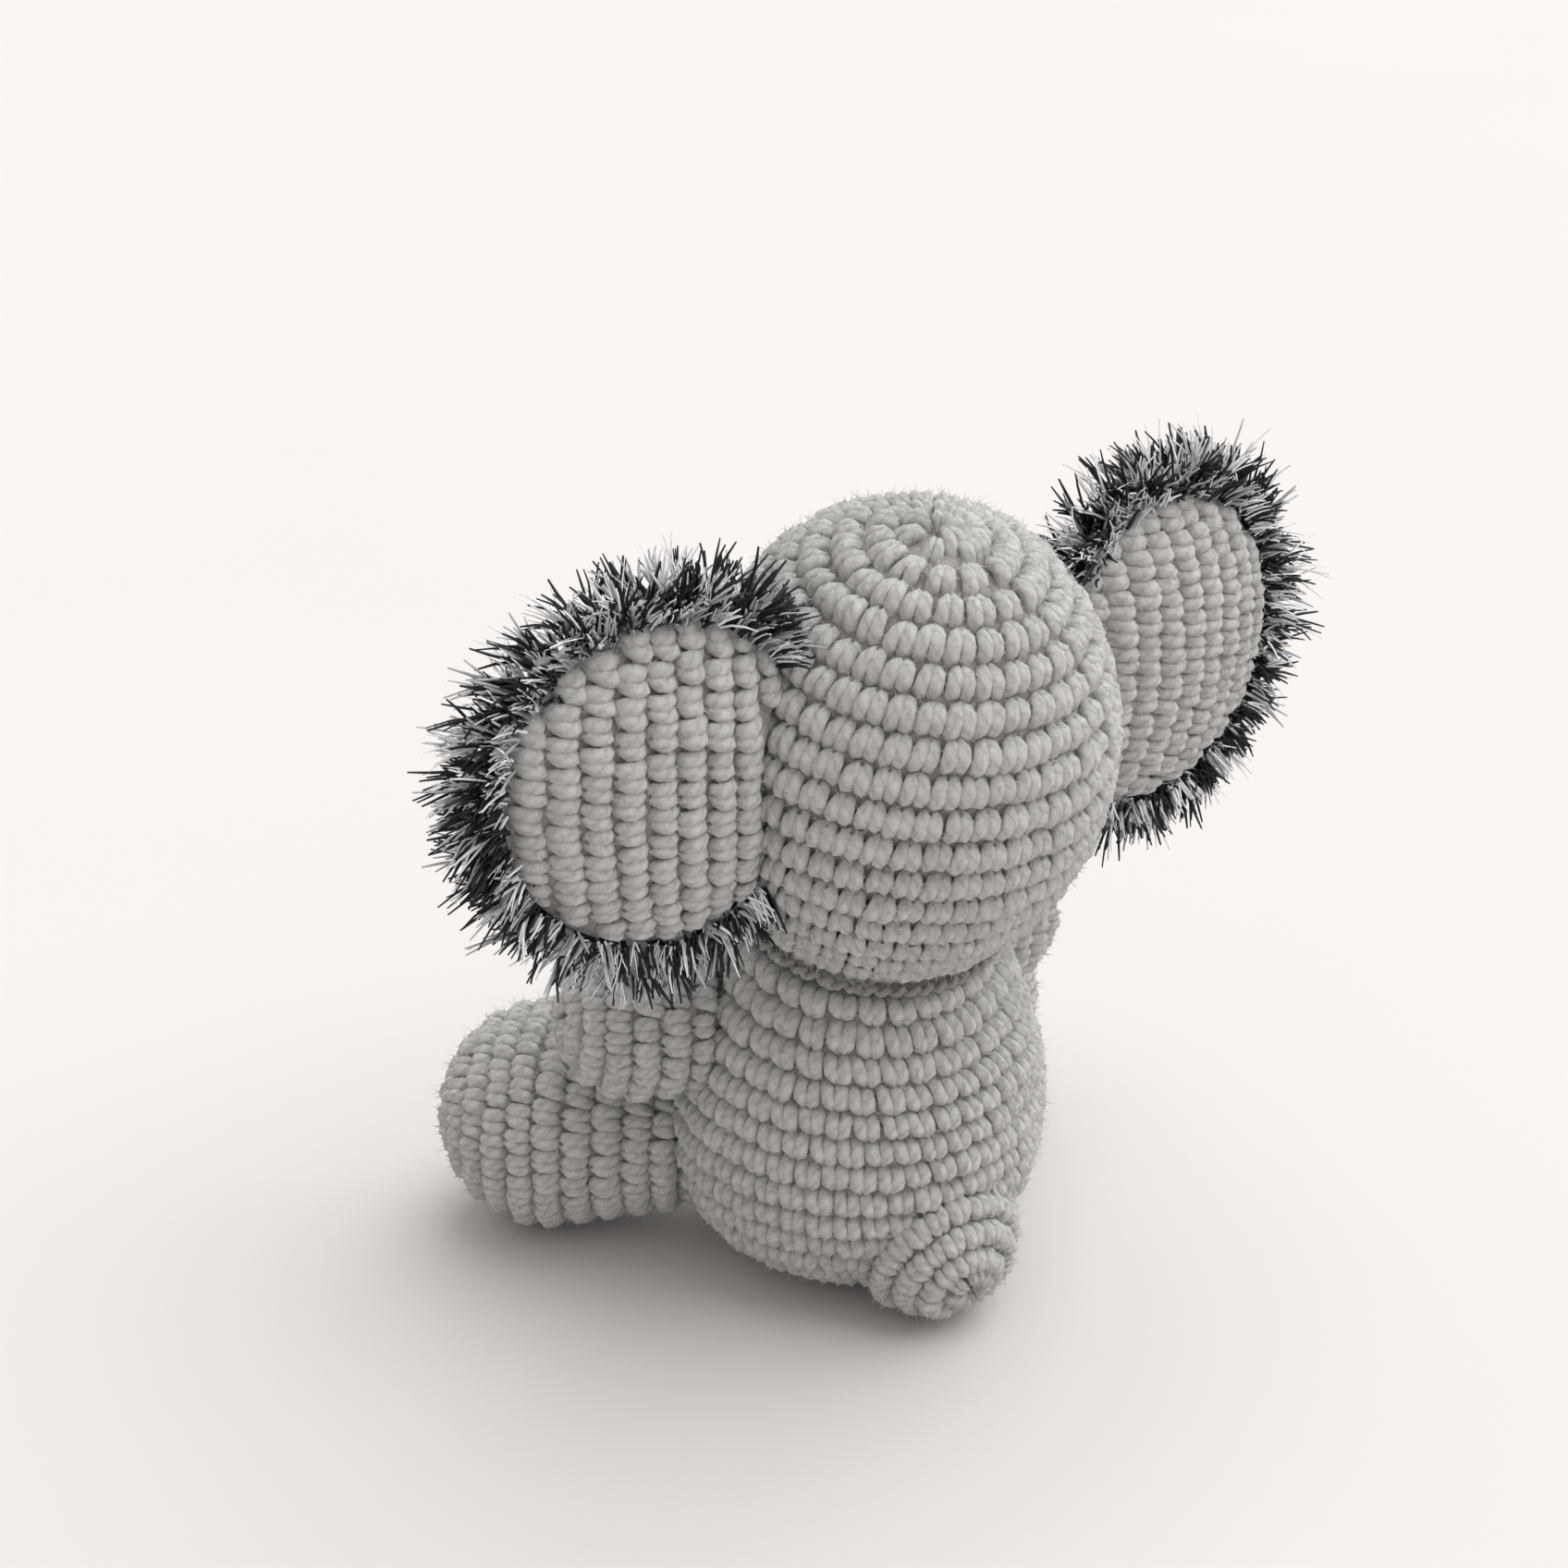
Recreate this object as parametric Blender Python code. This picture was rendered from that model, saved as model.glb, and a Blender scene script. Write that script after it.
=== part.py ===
"""A crocheted toy elephant that sits on its seat, its two feet and its stub tail.

Metres, +Z up. The toy faces -Y and its left side is +X. The origin is on the floor, under the
middle of the toy. Every piece of crochet is a thick shell with the opening that it was stuffed
through, and its stuffing is a solid of its own. Each limb starts as a ball about its joint and
sits in a bowl in the shell that it is sewn to, so it can rock without cutting into it.
"""
import math

import bpy
from mathutils import Matrix, Vector

MM = 0.001

# clearances and cloth
GAP = 0.4 * MM            # between pieces that lie against each other
CLOTH = 3.0 * MM          # thickness of the single-crochet cloth
LINING = CLOTH + GAP      # from the outside of the cloth to the stuffing
BOWL_GAP = 1.0 * MM       # between a limb's ball and the bowl it rocks in

# facets round each kind of piece
HEAD_SIDES = 26
HEAD_ROWS = 13
BODY_SIDES = 26
BOWL_SIDES = 20
BOWL_ROWS = 10
LIMB_SIDES = 16
LIMB_ROWS = 5
EAR_SIDES = 26
EAR_ROWS = 3
SMALL_SIDES = 12
TRUNK_ROWS = 6
YARN_SIDES = 6
EYE_SIDES = 24
EYE_ROWS = 5
MIN_RING_STEP = 0.5 * MM  # rings nearer than this to the next are left out

# where the toy sits: moves the middle of its box over the origin
TOY_SHIFT_Y = 1.9 * MM

# body: rings of (height, radius) up a spine that leans back
BODY_RINGS = (
    (0.0, 12.0), (1.6, 19.0), (5.5, 27.0), (13.0, 34.6), (25.0, 39.2), (38.0, 40.0),
    (50.0, 38.7), (60.0, 36.5), (68.0, 33.6), (76.0, 30.2), (82.0, 27.2), (87.0, 21.0),
)
BODY_SEAT_Y = 1.3 * MM
BODY_LEAN = 0.075                     # spine's shift toward the back per unit of height
BODY_TILT = math.radians(4.3)         # tilt of the rounds near the seat
BODY_TILT_START = 40.0 * MM           # height where the rounds begin to follow the head
BODY_TILT_END = 80.0 * MM

# head: an egg on a tilted axis; its underside is part of a sphere about the neck joint
HEAD_CENTRE = Vector((0.0, 18.0, 126.0)) * MM
HEAD_TILT = math.radians(13.0)
HEAD_RADIUS = 43.0 * MM
HEAD_HALF_HEIGHT = 51.0 * MM
NECK_BALL = 38.5 * MM
NECK_BALL_FROM = -30.0 * MM           # height below the head's centre where the sphere takes over
NECK_OPENING = 13.0 * MM
NECK_OPENING_FROM = 60.0 * MM         # height on the body's spine where the opening's cutter starts
SEAM_ANGLE = math.radians(42.8)       # of the neck seam, seen from the joint
SEAM_YARN = 1.5 * MM                  # radius of the seam's coil of yarn

# limbs: a ball at the joint, a longer ball at the tip
ARM_TIP = Vector((43.5, -13.0, 60.5)) * MM
ARM_JOINT = Vector((37.1, -10.2, 60.5)) * MM
ARM_TIP_RADIUS = 17.5 * MM
ARM_BALL = 17.0 * MM
LEG_TIP = Vector((50.0, -40.0, 25.0)) * MM
LEG_JOINT = Vector((34.1, -27.0, 25.5)) * MM
LEG_TIP_RADIUS = 25.0 * MM
LEG_BALL = 21.0 * MM
LIMB_OPENING = 9.0 * MM

# tail: a stub that is sewn down flush
TAIL_CENTRE = Vector((0.0, 32.3, 18.6)) * MM
TAIL_RADIUS = 18.6 * MM

# trunk, in the head's own axes: sideways, toward the back of the head, up the head's axis
TRUNK_JOINT = Vector((0.0, -45.5, -8.0)) * MM
TRUNK_BALL = 11.5 * MM
TRUNK_TIP_RADIUS = 7.5 * MM
TRUNK_LENGTH = 30.0 * MM
TRUNK_ANGLES = (math.radians(-18.0), math.radians(-58.0), math.radians(-26.0))
TRUNK_OPENING = 6.0 * MM
TRUNK_STEPS = 24                      # straight steps that follow the curve of the trunk

# eyes: safety eyes with a shank through the cloth and a washer behind it
EYE_SIDE = 16.5 * MM
EYE_HEIGHT = 6.0 * MM
EYE_RADIUS = 5.0 * MM
EYE_DOME = 3.6 * MM
SHANK_RADIUS = 2.0 * MM
SHANK_LENGTH = 8.0 * MM
WASHER_RADIUS = 6.0 * MM
WASHER_THICKNESS = 1.2 * MM
WASHER_BACK = 2.8 * MM                # from the back of the cloth, so the flat washer clears its curve
EYE_LIFT = 1.0 * MM                   # of the eye's flat back, so it clears the curve of the head
WASHER_POCKET = 1.0 * MM              # room round the washer in the stuffing

# ears: two round panels, one on the other, bulging to the back, with an edging round the rim
EAR_CENTRE = Vector((59.0, 25.0, 134.5)) * MM
EAR_SWEEP = math.radians(8.0)
EAR_HALF_WIDTH = 31.0 * MM
EAR_HALF_HEIGHT = 33.0 * MM
EAR_DOME = 6.0 * MM
EAR_RIM_DROP = 1.0 * MM               # of the rim of the sheet between the panels, toward the front
EAR_FLAT_REACH = (0.22, 0.94)         # innermost and outermost rings of a panel's flat side
EAR_BACK_THICKNESS = 3.4 * MM
EAR_FRONT_THICKNESS = 3.6 * MM
EDGING_RADIUS = 2.6 * MM
EDGING_CLEAR = 0.8 * MM               # between the rim and the edging
EDGING_FORWARD = 0.6 * MM
EAR_HINGE_IN = 16.0 * MM              # from the ear's centre in to the line where it is sewn
EAR_SWING = (-15.0, 0.0, 15.0)
EAR_ROOT_GAP = 0.5 * MM

GREY_YARN = (0.56, 0.55, 0.53, 1.0)
SHADED_YARN = (0.40, 0.39, 0.38, 1.0)
LASH_YARN = (0.11, 0.11, 0.12, 1.0)
STUFFING = (0.86, 0.85, 0.82, 1.0)
BLACK_PLASTIC = (0.01, 0.01, 0.01, 1.0)
WHITE_PLASTIC = (0.75, 0.75, 0.73, 1.0)


# ---------------------------------------------------------------- small tools

def clear_scene():
    for thing in list(bpy.data.objects):
        bpy.data.objects.remove(thing, do_unlink=True)


def make_material(name, colour, roughness, metallic=0.0):
    material = bpy.data.materials.new(name)
    material.use_nodes = True
    shader = material.node_tree.nodes["Principled BSDF"]
    shader.inputs["Base Color"].default_value = colour
    shader.inputs["Roughness"].default_value = roughness
    shader.inputs["Metallic"].default_value = metallic
    material.diffuse_color = colour
    return material


def add_mesh(name, points, faces):
    mesh = bpy.data.meshes.new(name)
    mesh.from_pydata([tuple(p) for p in points], [], faces)
    mesh.validate()
    thing = bpy.data.objects.new(name, mesh)
    bpy.context.scene.collection.objects.link(thing)
    return thing


def rings_to_mesh(name, rings, closed=False):
    """A skin over rings of points. Open ends close with a fan, or the last ring meets the first."""
    points = [p for ring in rings for p in ring]
    sides = len(rings[0])
    faces = []
    links = len(rings) if closed else len(rings) - 1
    for i in range(links):
        low = i * sides
        high = ((i + 1) % len(rings)) * sides
        for k in range(sides):
            nxt = (k + 1) % sides
            faces.append((low + k, low + nxt, high + nxt, high + k))
    if not closed:
        first = sum(rings[0], Vector()) / sides
        last = sum(rings[-1], Vector()) / sides
        points += [first, last]
        top = (len(rings) - 1) * sides
        for k in range(sides):
            nxt = (k + 1) % sides
            faces.append((len(points) - 2, nxt, k))
            faces.append((len(points) - 1, top + k, top + nxt))
    return add_mesh(name, points, faces)


def circle(centre, radius, across, along, sides):
    """A ring of points: angles run from the across direction toward the along direction."""
    turn = [2 * math.pi * k / sides for k in range(sides)]
    return [centre + radius * (math.cos(t) * across + math.sin(t) * along) for t in turn]


def turned(name, profile, frame, sides, closed=False):
    """A solid turned about the frame's Z axis from (radius, height) points, bottom to top."""
    across, along, axis = (frame.to_3x3().col[i].normalized() for i in range(3))
    origin = frame.translation
    rings = [circle(origin + axis * z, r, across, along, sides) for r, z in profile]
    return rings_to_mesh(name, rings, closed)


def ball(name, centre, radius, sides=BOWL_SIDES, rows=BOWL_ROWS):
    """A sphere that encloses the true one, for cutting clearances."""
    grown = radius / math.cos(math.pi / sides)
    profile = []
    for i in range(1, rows):
        t = math.pi * i / rows
        profile.append((grown * math.sin(t), -grown * math.cos(t)))
    thing = turned(name, profile, Matrix.Translation(centre), sides)
    poles = len(thing.data.vertices)
    thing.data.vertices[poles - 2].co = centre - Vector((0, 0, grown))
    thing.data.vertices[poles - 1].co = centre + Vector((0, 0, grown))
    return thing


def rod(name, start, end, radius, sides=SMALL_SIDES):
    frame = frame_along(start, end - start)
    return turned(name, [(radius, 0.0), (radius, (end - start).length)], frame, sides)


def frame_along(origin, direction):
    """A frame at origin whose Z axis is the direction."""
    turn = Vector(direction).normalized().to_track_quat("Z", "Y").to_matrix().to_4x4()
    return Matrix.Translation(origin) @ turn


def carve(target, cutters):
    """Cuts the target with each cutter in turn, then removes the cutters."""
    for cutter in cutters:
        modifier = target.modifiers.new("cut", "BOOLEAN")
        modifier.object = cutter
        modifier.operation = "DIFFERENCE"
        modifier.solver = "EXACT"
        bpy.context.view_layer.update()
        graph = bpy.context.evaluated_depsgraph_get()
        mesh = bpy.data.meshes.new_from_object(target.evaluated_get(graph))
        target.modifiers.clear()
        target.data = mesh
        bpy.data.objects.remove(cutter, do_unlink=True)
    return target


def finish(thing, material, origin):
    """Puts the object's origin on its joint, moves the toy over the origin and paints it."""
    thing.data.transform(Matrix.Translation(-Vector(origin)))
    thing.location = Vector(origin) + Vector((0, TOY_SHIFT_Y, 0))
    thing.data.materials.clear()
    thing.data.materials.append(material)
    thing.data.shade_smooth()
    thing.data.set_sharp_from_angle(angle=math.radians(50))
    return thing


def mirrored(point, side):
    return Vector((point.x * side, point.y, point.z))


# ---------------------------------------------------------------- head's own axes

HEAD_UP = Vector((0, math.sin(HEAD_TILT), math.cos(HEAD_TILT)))
HEAD_BACK = Vector((0, math.cos(HEAD_TILT), -math.sin(HEAD_TILT)))
HEAD_FRAME = Matrix.Translation(HEAD_CENTRE) @ Matrix.Rotation(-HEAD_TILT, 4, "X")
NECK_JOINT = HEAD_CENTRE - HEAD_UP * (HEAD_HALF_HEIGHT - NECK_BALL)


def on_head(point):
    return HEAD_CENTRE + Vector((point.x, 0, 0)) + HEAD_BACK * point.y + HEAD_UP * point.z


def head_radius(height, inset=0.0):
    """Radius of the head at a height on its axis, for the skin that lies inset inside it."""
    wide = HEAD_RADIUS - inset
    tall = HEAD_HALF_HEIGHT - inset
    if height < NECK_BALL_FROM:
        drop = height + HEAD_HALF_HEIGHT - NECK_BALL
        return math.sqrt(max((NECK_BALL - inset) ** 2 - drop ** 2, 0.0))
    return wide * math.sqrt(max(1 - (height / tall) ** 2, 0.0))


def head_solid(name, inset, sides=HEAD_SIDES, rows=HEAD_ROWS):
    tall = HEAD_HALF_HEIGHT - inset
    heights = [-tall * math.cos(math.pi * i / rows) for i in range(1, rows)]
    thing = turned(name, [(head_radius(h, inset), h) for h in heights], HEAD_FRAME, sides)
    poles = len(thing.data.vertices)
    thing.data.vertices[poles - 2].co = HEAD_CENTRE - HEAD_UP * tall
    thing.data.vertices[poles - 1].co = HEAD_CENTRE + HEAD_UP * tall
    return thing


# ---------------------------------------------------------------- body

def body_spine(height):
    return Vector((0, BODY_SEAT_Y + BODY_LEAN * height, height))


def body_tilt(height):
    """The rounds lie square to the lean at the seat and square to the head at the neck."""
    t = (height - BODY_TILT_START) / (BODY_TILT_END - BODY_TILT_START)
    t = min(max(t, 0.0), 1.0)
    return BODY_TILT * min(height / BODY_TILT_START, 1.0) + (HEAD_TILT - BODY_TILT) * t * t * (3 - 2 * t)


def body_solid(name, inset):
    rings = []
    for height, radius in BODY_RINGS:
        z = min(max(height * MM, inset), BODY_RINGS[-1][0] * MM - inset)
        tilt = body_tilt(z)
        along = Vector((0, math.cos(tilt), -math.sin(tilt)))
        rings.append(circle(body_spine(z), radius * MM - inset, Vector((1, 0, 0)), along, BODY_SIDES))
    while (rings[1][0] - rings[0][0]).z < MIN_RING_STEP:
        rings.pop(0)
    while (rings[-1][0] - rings[-2][0]).z < MIN_RING_STEP:
        rings.pop(-2)
    return rings_to_mesh(name, rings)


def body_bowls(inset):
    """The bowls that the head and the limbs sit in, seen from a skin that lies inset inside."""
    bowls = [ball("bowl_neck", NECK_JOINT, NECK_BALL + 2 * GAP + inset, HEAD_SIDES, HEAD_ROWS)]
    for side in (1, -1):
        arm = ARM_BALL + BOWL_GAP + inset
        leg = LEG_BALL + BOWL_GAP + inset
        bowls.append(ball("bowl_arm", mirrored(ARM_JOINT, side), arm))
        bowls.append(ball("bowl_leg", mirrored(LEG_JOINT, side), leg))
    return bowls


def seam_ring(name, radius, sides=YARN_SIDES):
    """A ring of yarn round the neck, against the head's underside."""
    reach = NECK_BALL + GAP + SEAM_YARN
    centre_r = reach * math.sin(SEAM_ANGLE)
    centre_z = -reach * math.cos(SEAM_ANGLE)
    frame = Matrix.Translation(NECK_JOINT) @ Matrix.Rotation(-HEAD_TILT, 4, "X")
    turn = [2 * math.pi * k / sides for k in range(sides)]
    profile = [(centre_r + radius * math.sin(t), centre_z - radius * math.cos(t)) for t in turn]
    return turned(name, profile, frame, BODY_SIDES, closed=True)


def make_body(yarn, stuffing):
    shell = body_solid("body_shell", 0.0)
    carve(shell, body_bowls(0.0))
    carve(shell, [seam_ring("groove", SEAM_YARN + 2 * GAP)])
    hollow = carve(body_solid("hollow", CLOTH), body_bowls(CLOTH))
    carve(shell, [hollow])
    neck_end = NECK_JOINT - HEAD_UP * (NECK_BALL - 5 * MM)
    carve(shell, [rod("mouth", body_spine(NECK_OPENING_FROM), neck_end, NECK_OPENING)])
    finish(shell, yarn, (0, 0, 0))
    inside = carve(body_solid("body_stuffing", LINING), body_bowls(LINING))
    finish(inside, stuffing, (0, 0, 0))


def make_neck_seam(yarn):
    finish(seam_ring("neck_seam", SEAM_YARN), yarn, NECK_JOINT)


# ---------------------------------------------------------------- limbs

def limb_profile(ball_radius, tip_radius, length, inset, opening, rows=LIMB_ROWS):
    """Half outline of a limb from its base to its tip: ball, straight side, rounded tip."""
    inner_ball = ball_radius - inset
    inner_tip = tip_radius - inset
    start = math.asin(opening / inner_ball) if opening else math.pi / (2 * rows)
    profile = []
    for i in range(rows):
        t = start + (math.pi / 2 - start) * i / (rows - 1)
        profile.append((inner_ball * math.sin(t), -inner_ball * math.cos(t)))
    for i in range(rows):
        t = math.pi / 2 * i / rows
        profile.append((inner_tip * math.cos(t), length + inner_tip * math.sin(t)))
    return profile


def make_limb(name, joint, tip, ball_radius, tip_radius, yarn, stuffing):
    frame = frame_along(joint, tip - joint)
    length = (tip - joint).length
    outer = limb_profile(ball_radius, tip_radius, length, 0.0, LIMB_OPENING)
    inner = limb_profile(ball_radius, tip_radius, length, CLOTH, LIMB_OPENING)
    shell = cup(name + "_shell", outer, inner, frame, LIMB_SIDES)
    finish(shell, yarn, joint)
    filling = limb_profile(ball_radius, tip_radius, length, LINING, 0.0)
    inside = turned(name + "_stuffing", filling, frame, LIMB_SIDES)
    finish(inside, stuffing, joint)


def cup(name, outer, inner, frame, sides):
    """A limb's shell, from its outer and inner outlines, mouth first."""
    across, along, axis = (frame.to_3x3().col[i].normalized() for i in range(3))
    origin = frame.translation
    skins = []
    for outline in (outer, inner):
        rings = [circle(origin + axis * z, r, across, along, sides) for r, z in outline]
        skins.append((rings, origin + axis * (outline[-1][1] + tip_rise(outline))))
    return open_shell(name, *skins)


def open_shell(name, outer, inner):
    """Cloth between two skins that are open at their first ring and closed at a pole."""
    points = []
    faces = []
    sides = len(outer[0][0])
    for (rings, pole), flip in ((outer, False), (inner, True)):
        base = len(points)
        points += [p for ring in rings for p in ring] + [pole]
        for i in range(len(rings) - 1):
            for k in range(sides):
                low = base + i * sides
                nxt = (k + 1) % sides
                quad = (low + k, low + nxt, low + sides + nxt, low + sides + k)
                faces.append(quad[::-1] if flip else quad)
        top = base + (len(rings) - 1) * sides
        for k in range(sides):
            fan = (top + k, top + (k + 1) % sides, len(points) - 1)
            faces.append(fan[::-1] if flip else fan)
    inner_base = len(outer[0]) * sides + 1
    for k in range(sides):
        nxt = (k + 1) % sides
        faces.append((nxt, k, inner_base + k, inner_base + nxt))
    return add_mesh(name, points, faces)


def tip_rise(outline):
    """How far the pole stands above the outline's last ring, for a rounded end."""
    last_r, last_z = outline[-1]
    before_r, before_z = outline[-2]
    slope = (last_z - before_z) / max(before_r - last_r, 1e-9)
    return 0.4 * slope * last_r


def make_tail(yarn, stuffing):
    """A dome that the body closes: its open side follows the body's skin."""
    true_size = math.cos(math.pi / BOWL_SIDES)
    shell = ball("tail_shell", TAIL_CENTRE, TAIL_RADIUS * true_size)
    carve(shell, [ball("tail_hollow", TAIL_CENTRE, (TAIL_RADIUS - CLOTH) * true_size)])
    carve(shell, [body_solid("body_clearance", -GAP)])
    finish(shell, yarn, TAIL_CENTRE)
    inside = ball("tail_stuffing", TAIL_CENTRE, (TAIL_RADIUS - LINING) * true_size)
    carve(inside, [body_solid("body_clearance", -2 * GAP)])
    finish(inside, stuffing, TAIL_CENTRE)


# ---------------------------------------------------------------- trunk

def trunk_spine(share):
    """Point, direction and radius at a share of the trunk's length, in the head's axes."""
    point = Vector((0, 0, 0))
    step = TRUNK_LENGTH * share / TRUNK_STEPS
    for i in range(TRUNK_STEPS):
        angle = trunk_angle(share * (i + 0.5) / TRUNK_STEPS)
        point += Vector((0, -math.cos(angle), math.sin(angle))) * step
    angle = trunk_angle(share)
    direction = Vector((0, -math.cos(angle), math.sin(angle)))
    radius = TRUNK_BALL + (TRUNK_TIP_RADIUS - TRUNK_BALL) * share
    return TRUNK_JOINT + point, direction, radius


def trunk_angle(share):
    """The trunk droops in its middle and lifts again toward its tip."""
    start, middle, end = TRUNK_ANGLES
    t = min(max(share, 0.0), 1.0)
    if t < 0.5:
        return start + (middle - start) * math.sin(math.pi * t)
    return end + (middle - end) * math.sin(math.pi * t)


def trunk_rings(inset, opening, sides):
    """Rings from the mouth of the ball, along the spine and round the tip."""
    rings = []
    _, first, _ = trunk_spine(0.0)
    side = Vector((1, 0, 0))
    base = TRUNK_BALL - inset
    start = math.asin(opening / base) if opening else math.radians(15)
    for i in range(3):
        t = start + (math.pi / 2 - start) * i / 3
        rings.append((TRUNK_JOINT - first * base * math.cos(t), first, base * math.sin(t)))
    for i in range(TRUNK_ROWS):
        point, direction, radius = trunk_spine(i / (TRUNK_ROWS - 1))
        rings.append((point, direction, radius - inset))
    end, direction, radius = trunk_spine(1.0)
    for i in range(1, 3):
        t = math.pi / 2 * i / 3
        cap = radius - inset
        rings.append((end + direction * cap * math.sin(t), direction, cap * math.cos(t)))
    pole = end + direction * (radius - inset)
    placed = []
    for point, direction, radius in rings:
        along = direction.cross(side)
        placed.append(circle(on_head(point), radius, side, turn_to_head(along), sides))
    return placed, on_head(pole)


def turn_to_head(direction):
    return HEAD_BACK * direction.y + HEAD_UP * direction.z


def make_trunk(yarn, stuffing):
    outer = trunk_rings(0.0, TRUNK_OPENING, SMALL_SIDES)
    inner = trunk_rings(CLOTH, TRUNK_OPENING, SMALL_SIDES)
    joint = on_head(TRUNK_JOINT)
    finish(open_shell("trunk_shell", outer, inner), yarn, joint)
    filling, pole = trunk_rings(LINING, 0.0, SMALL_SIDES)
    inside = rings_to_mesh("trunk_stuffing", filling)
    inside.data.vertices[len(inside.data.vertices) - 1].co = pole
    finish(inside, stuffing, joint)


# ---------------------------------------------------------------- head and eyes

def eye_seat(side):
    """Where an eye sits on the head, and the way it looks."""
    radius = head_radius(EYE_HEIGHT)
    back = -math.sqrt(radius ** 2 - EYE_SIDE ** 2)
    local = Vector((EYE_SIDE * side, back, EYE_HEIGHT))
    slope = Vector((local.x / HEAD_RADIUS ** 2, local.y / HEAD_RADIUS ** 2,
                    local.z / HEAD_HALF_HEIGHT ** 2)).normalized()
    look = Vector((slope.x, 0, 0)) + turn_to_head(slope)
    return on_head(local), look.normalized()


def make_head(yarn, stuffing):
    trunk_root = on_head(TRUNK_JOINT)
    shell = head_solid("head_shell", 0.0)
    carve(shell, [ball("bowl_trunk", trunk_root, TRUNK_BALL + BOWL_GAP)])
    hollow = head_solid("hollow", CLOTH)
    carve(hollow, [ball("bowl_trunk", trunk_root, TRUNK_BALL + BOWL_GAP + CLOTH)])
    carve(shell, [hollow])
    below = HEAD_CENTRE - HEAD_UP * (HEAD_HALF_HEIGHT + 5 * MM)
    above = HEAD_CENTRE - HEAD_UP * (HEAD_HALF_HEIGHT - 14 * MM)
    carve(shell, [rod("mouth", below, above, NECK_OPENING)])
    inside = head_solid("head_stuffing", LINING)
    carve(inside, [ball("bowl_trunk", trunk_root, TRUNK_BALL + BOWL_GAP + LINING)])
    for side in (1, -1):
        seat, look = eye_seat(side)
        hole = SHANK_RADIUS + GAP
        carve(shell, [rod("eye_hole", seat - look * 12 * MM, seat + look * 6 * MM, hole)])
        pocket = WASHER_RADIUS + WASHER_POCKET
        carve(inside, [rod("eye_pocket", seat - look * 10 * MM, seat + look * 2 * MM, pocket)])
    finish(shell, yarn, NECK_JOINT)
    finish(inside, stuffing, NECK_JOINT)


def make_eyes(black, white):
    for side, label in ((1, "left"), (-1, "right")):
        seat, look = eye_seat(side)
        frame = frame_along(seat + look * EYE_LIFT, look)
        outline = [(SHANK_RADIUS, -SHANK_LENGTH), (SHANK_RADIUS, 0.0), (EYE_RADIUS, 0.0)]
        for i in range(1, EYE_ROWS):
            t = math.pi / 2 * i / EYE_ROWS
            outline.append((EYE_RADIUS * math.cos(t), EYE_DOME * math.sin(t)))
        eye = turned(label + "_eye", outline, frame, EYE_SIDES)
        eye.data.vertices[len(eye.data.vertices) - 1].co = frame @ Vector((0, 0, EYE_DOME))
        finish(eye, black, seat)
        top = -CLOTH - WASHER_BACK
        hole = SHANK_RADIUS + GAP
        ring = [(hole, top - WASHER_THICKNESS), (WASHER_RADIUS, top - WASHER_THICKNESS),
                (WASHER_RADIUS, top), (hole, top)]
        washer = turned(label + "_eye_washer", ring, frame, EYE_SIDES, closed=True)
        finish(washer, white, seat)


# ---------------------------------------------------------------- ears

class Ear:
    """One ear's axes: out from the head, up, and toward the back."""

    def __init__(self, side):
        self.side = side
        self.label = "left" if side > 0 else "right"
        self.out = Vector((math.cos(EAR_SWEEP) * side, -math.sin(EAR_SWEEP), 0))
        self.up = Vector((0, 0, 1))
        self.back = Vector((math.sin(EAR_SWEEP) * side, math.cos(EAR_SWEEP), 0))
        self.centre = mirrored(EAR_CENTRE, side)
        self.hinge = self.centre - self.out * EAR_HINGE_IN

    def point(self, turn, reach, depth, grow=0.0):
        """A point at a turn round the ear, a reach from its middle to its rim, and a depth."""
        wide = EAR_HALF_WIDTH * reach + grow
        tall = EAR_HALF_HEIGHT * reach + grow
        across = self.out * wide * math.cos(turn) + self.up * tall * math.sin(turn)
        return self.centre + across + self.back * depth


def ear_dome(reach):
    """How far the sheet between the two panels bulges toward the back."""
    return EAR_DOME * (1 - reach ** 2) - EAR_RIM_DROP


def ear_panel(name, ear, inner_depth, outer_depth, sides=EAR_SIDES, rows=EAR_ROWS):
    """A round panel with a rounded rim, between two depths measured from the bulging sheet."""
    middle = (inner_depth + outer_depth) / 2
    half = (outer_depth - inner_depth) / 2
    rings = []
    first, last = EAR_FLAT_REACH
    reaches = [first + (last - first) * i / rows for i in range(rows + 1)]
    turns = [2 * math.pi * k / sides * ear.side for k in range(sides)]
    for sign, steps in ((-1, reaches), (1, reaches[::-1])):
        if sign > 0:
            rings.append([ear.point(t, 1.0, ear_dome(1.0) + middle) for t in turns])
        for reach in steps:
            depth = ear_dome(reach) + middle + sign * half
            rings.append([ear.point(t, reach, depth) for t in turns])
    thing = rings_to_mesh(name, rings)
    count = len(thing.data.vertices)
    for index, depth in ((count - 2, inner_depth), (count - 1, outer_depth)):
        thing.data.vertices[index].co = ear.point(0, 0, ear_dome(0) + depth)
    return thing


def ear_edging(name, ear, sides=YARN_SIDES, around=EAR_SIDES):
    """A tube round the rim, a little toward the front."""
    rings = []
    depth = ear_dome(1.0) - EDGING_FORWARD
    for k in range(around):
        turn = 2 * math.pi * k / around
        spoke = ear.point(turn, 1.0, 0.0, 1 * MM) - ear.point(turn, 1.0, 0.0)
        outward = spoke.normalized()
        centre = ear.point(turn, 1.0, depth, EDGING_RADIUS + EDGING_CLEAR)
        ring = circle(centre, EDGING_RADIUS, outward, ear.back * -ear.side, sides)
        rings.append(ring)
    return rings_to_mesh(name, rings, closed=True)


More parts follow.
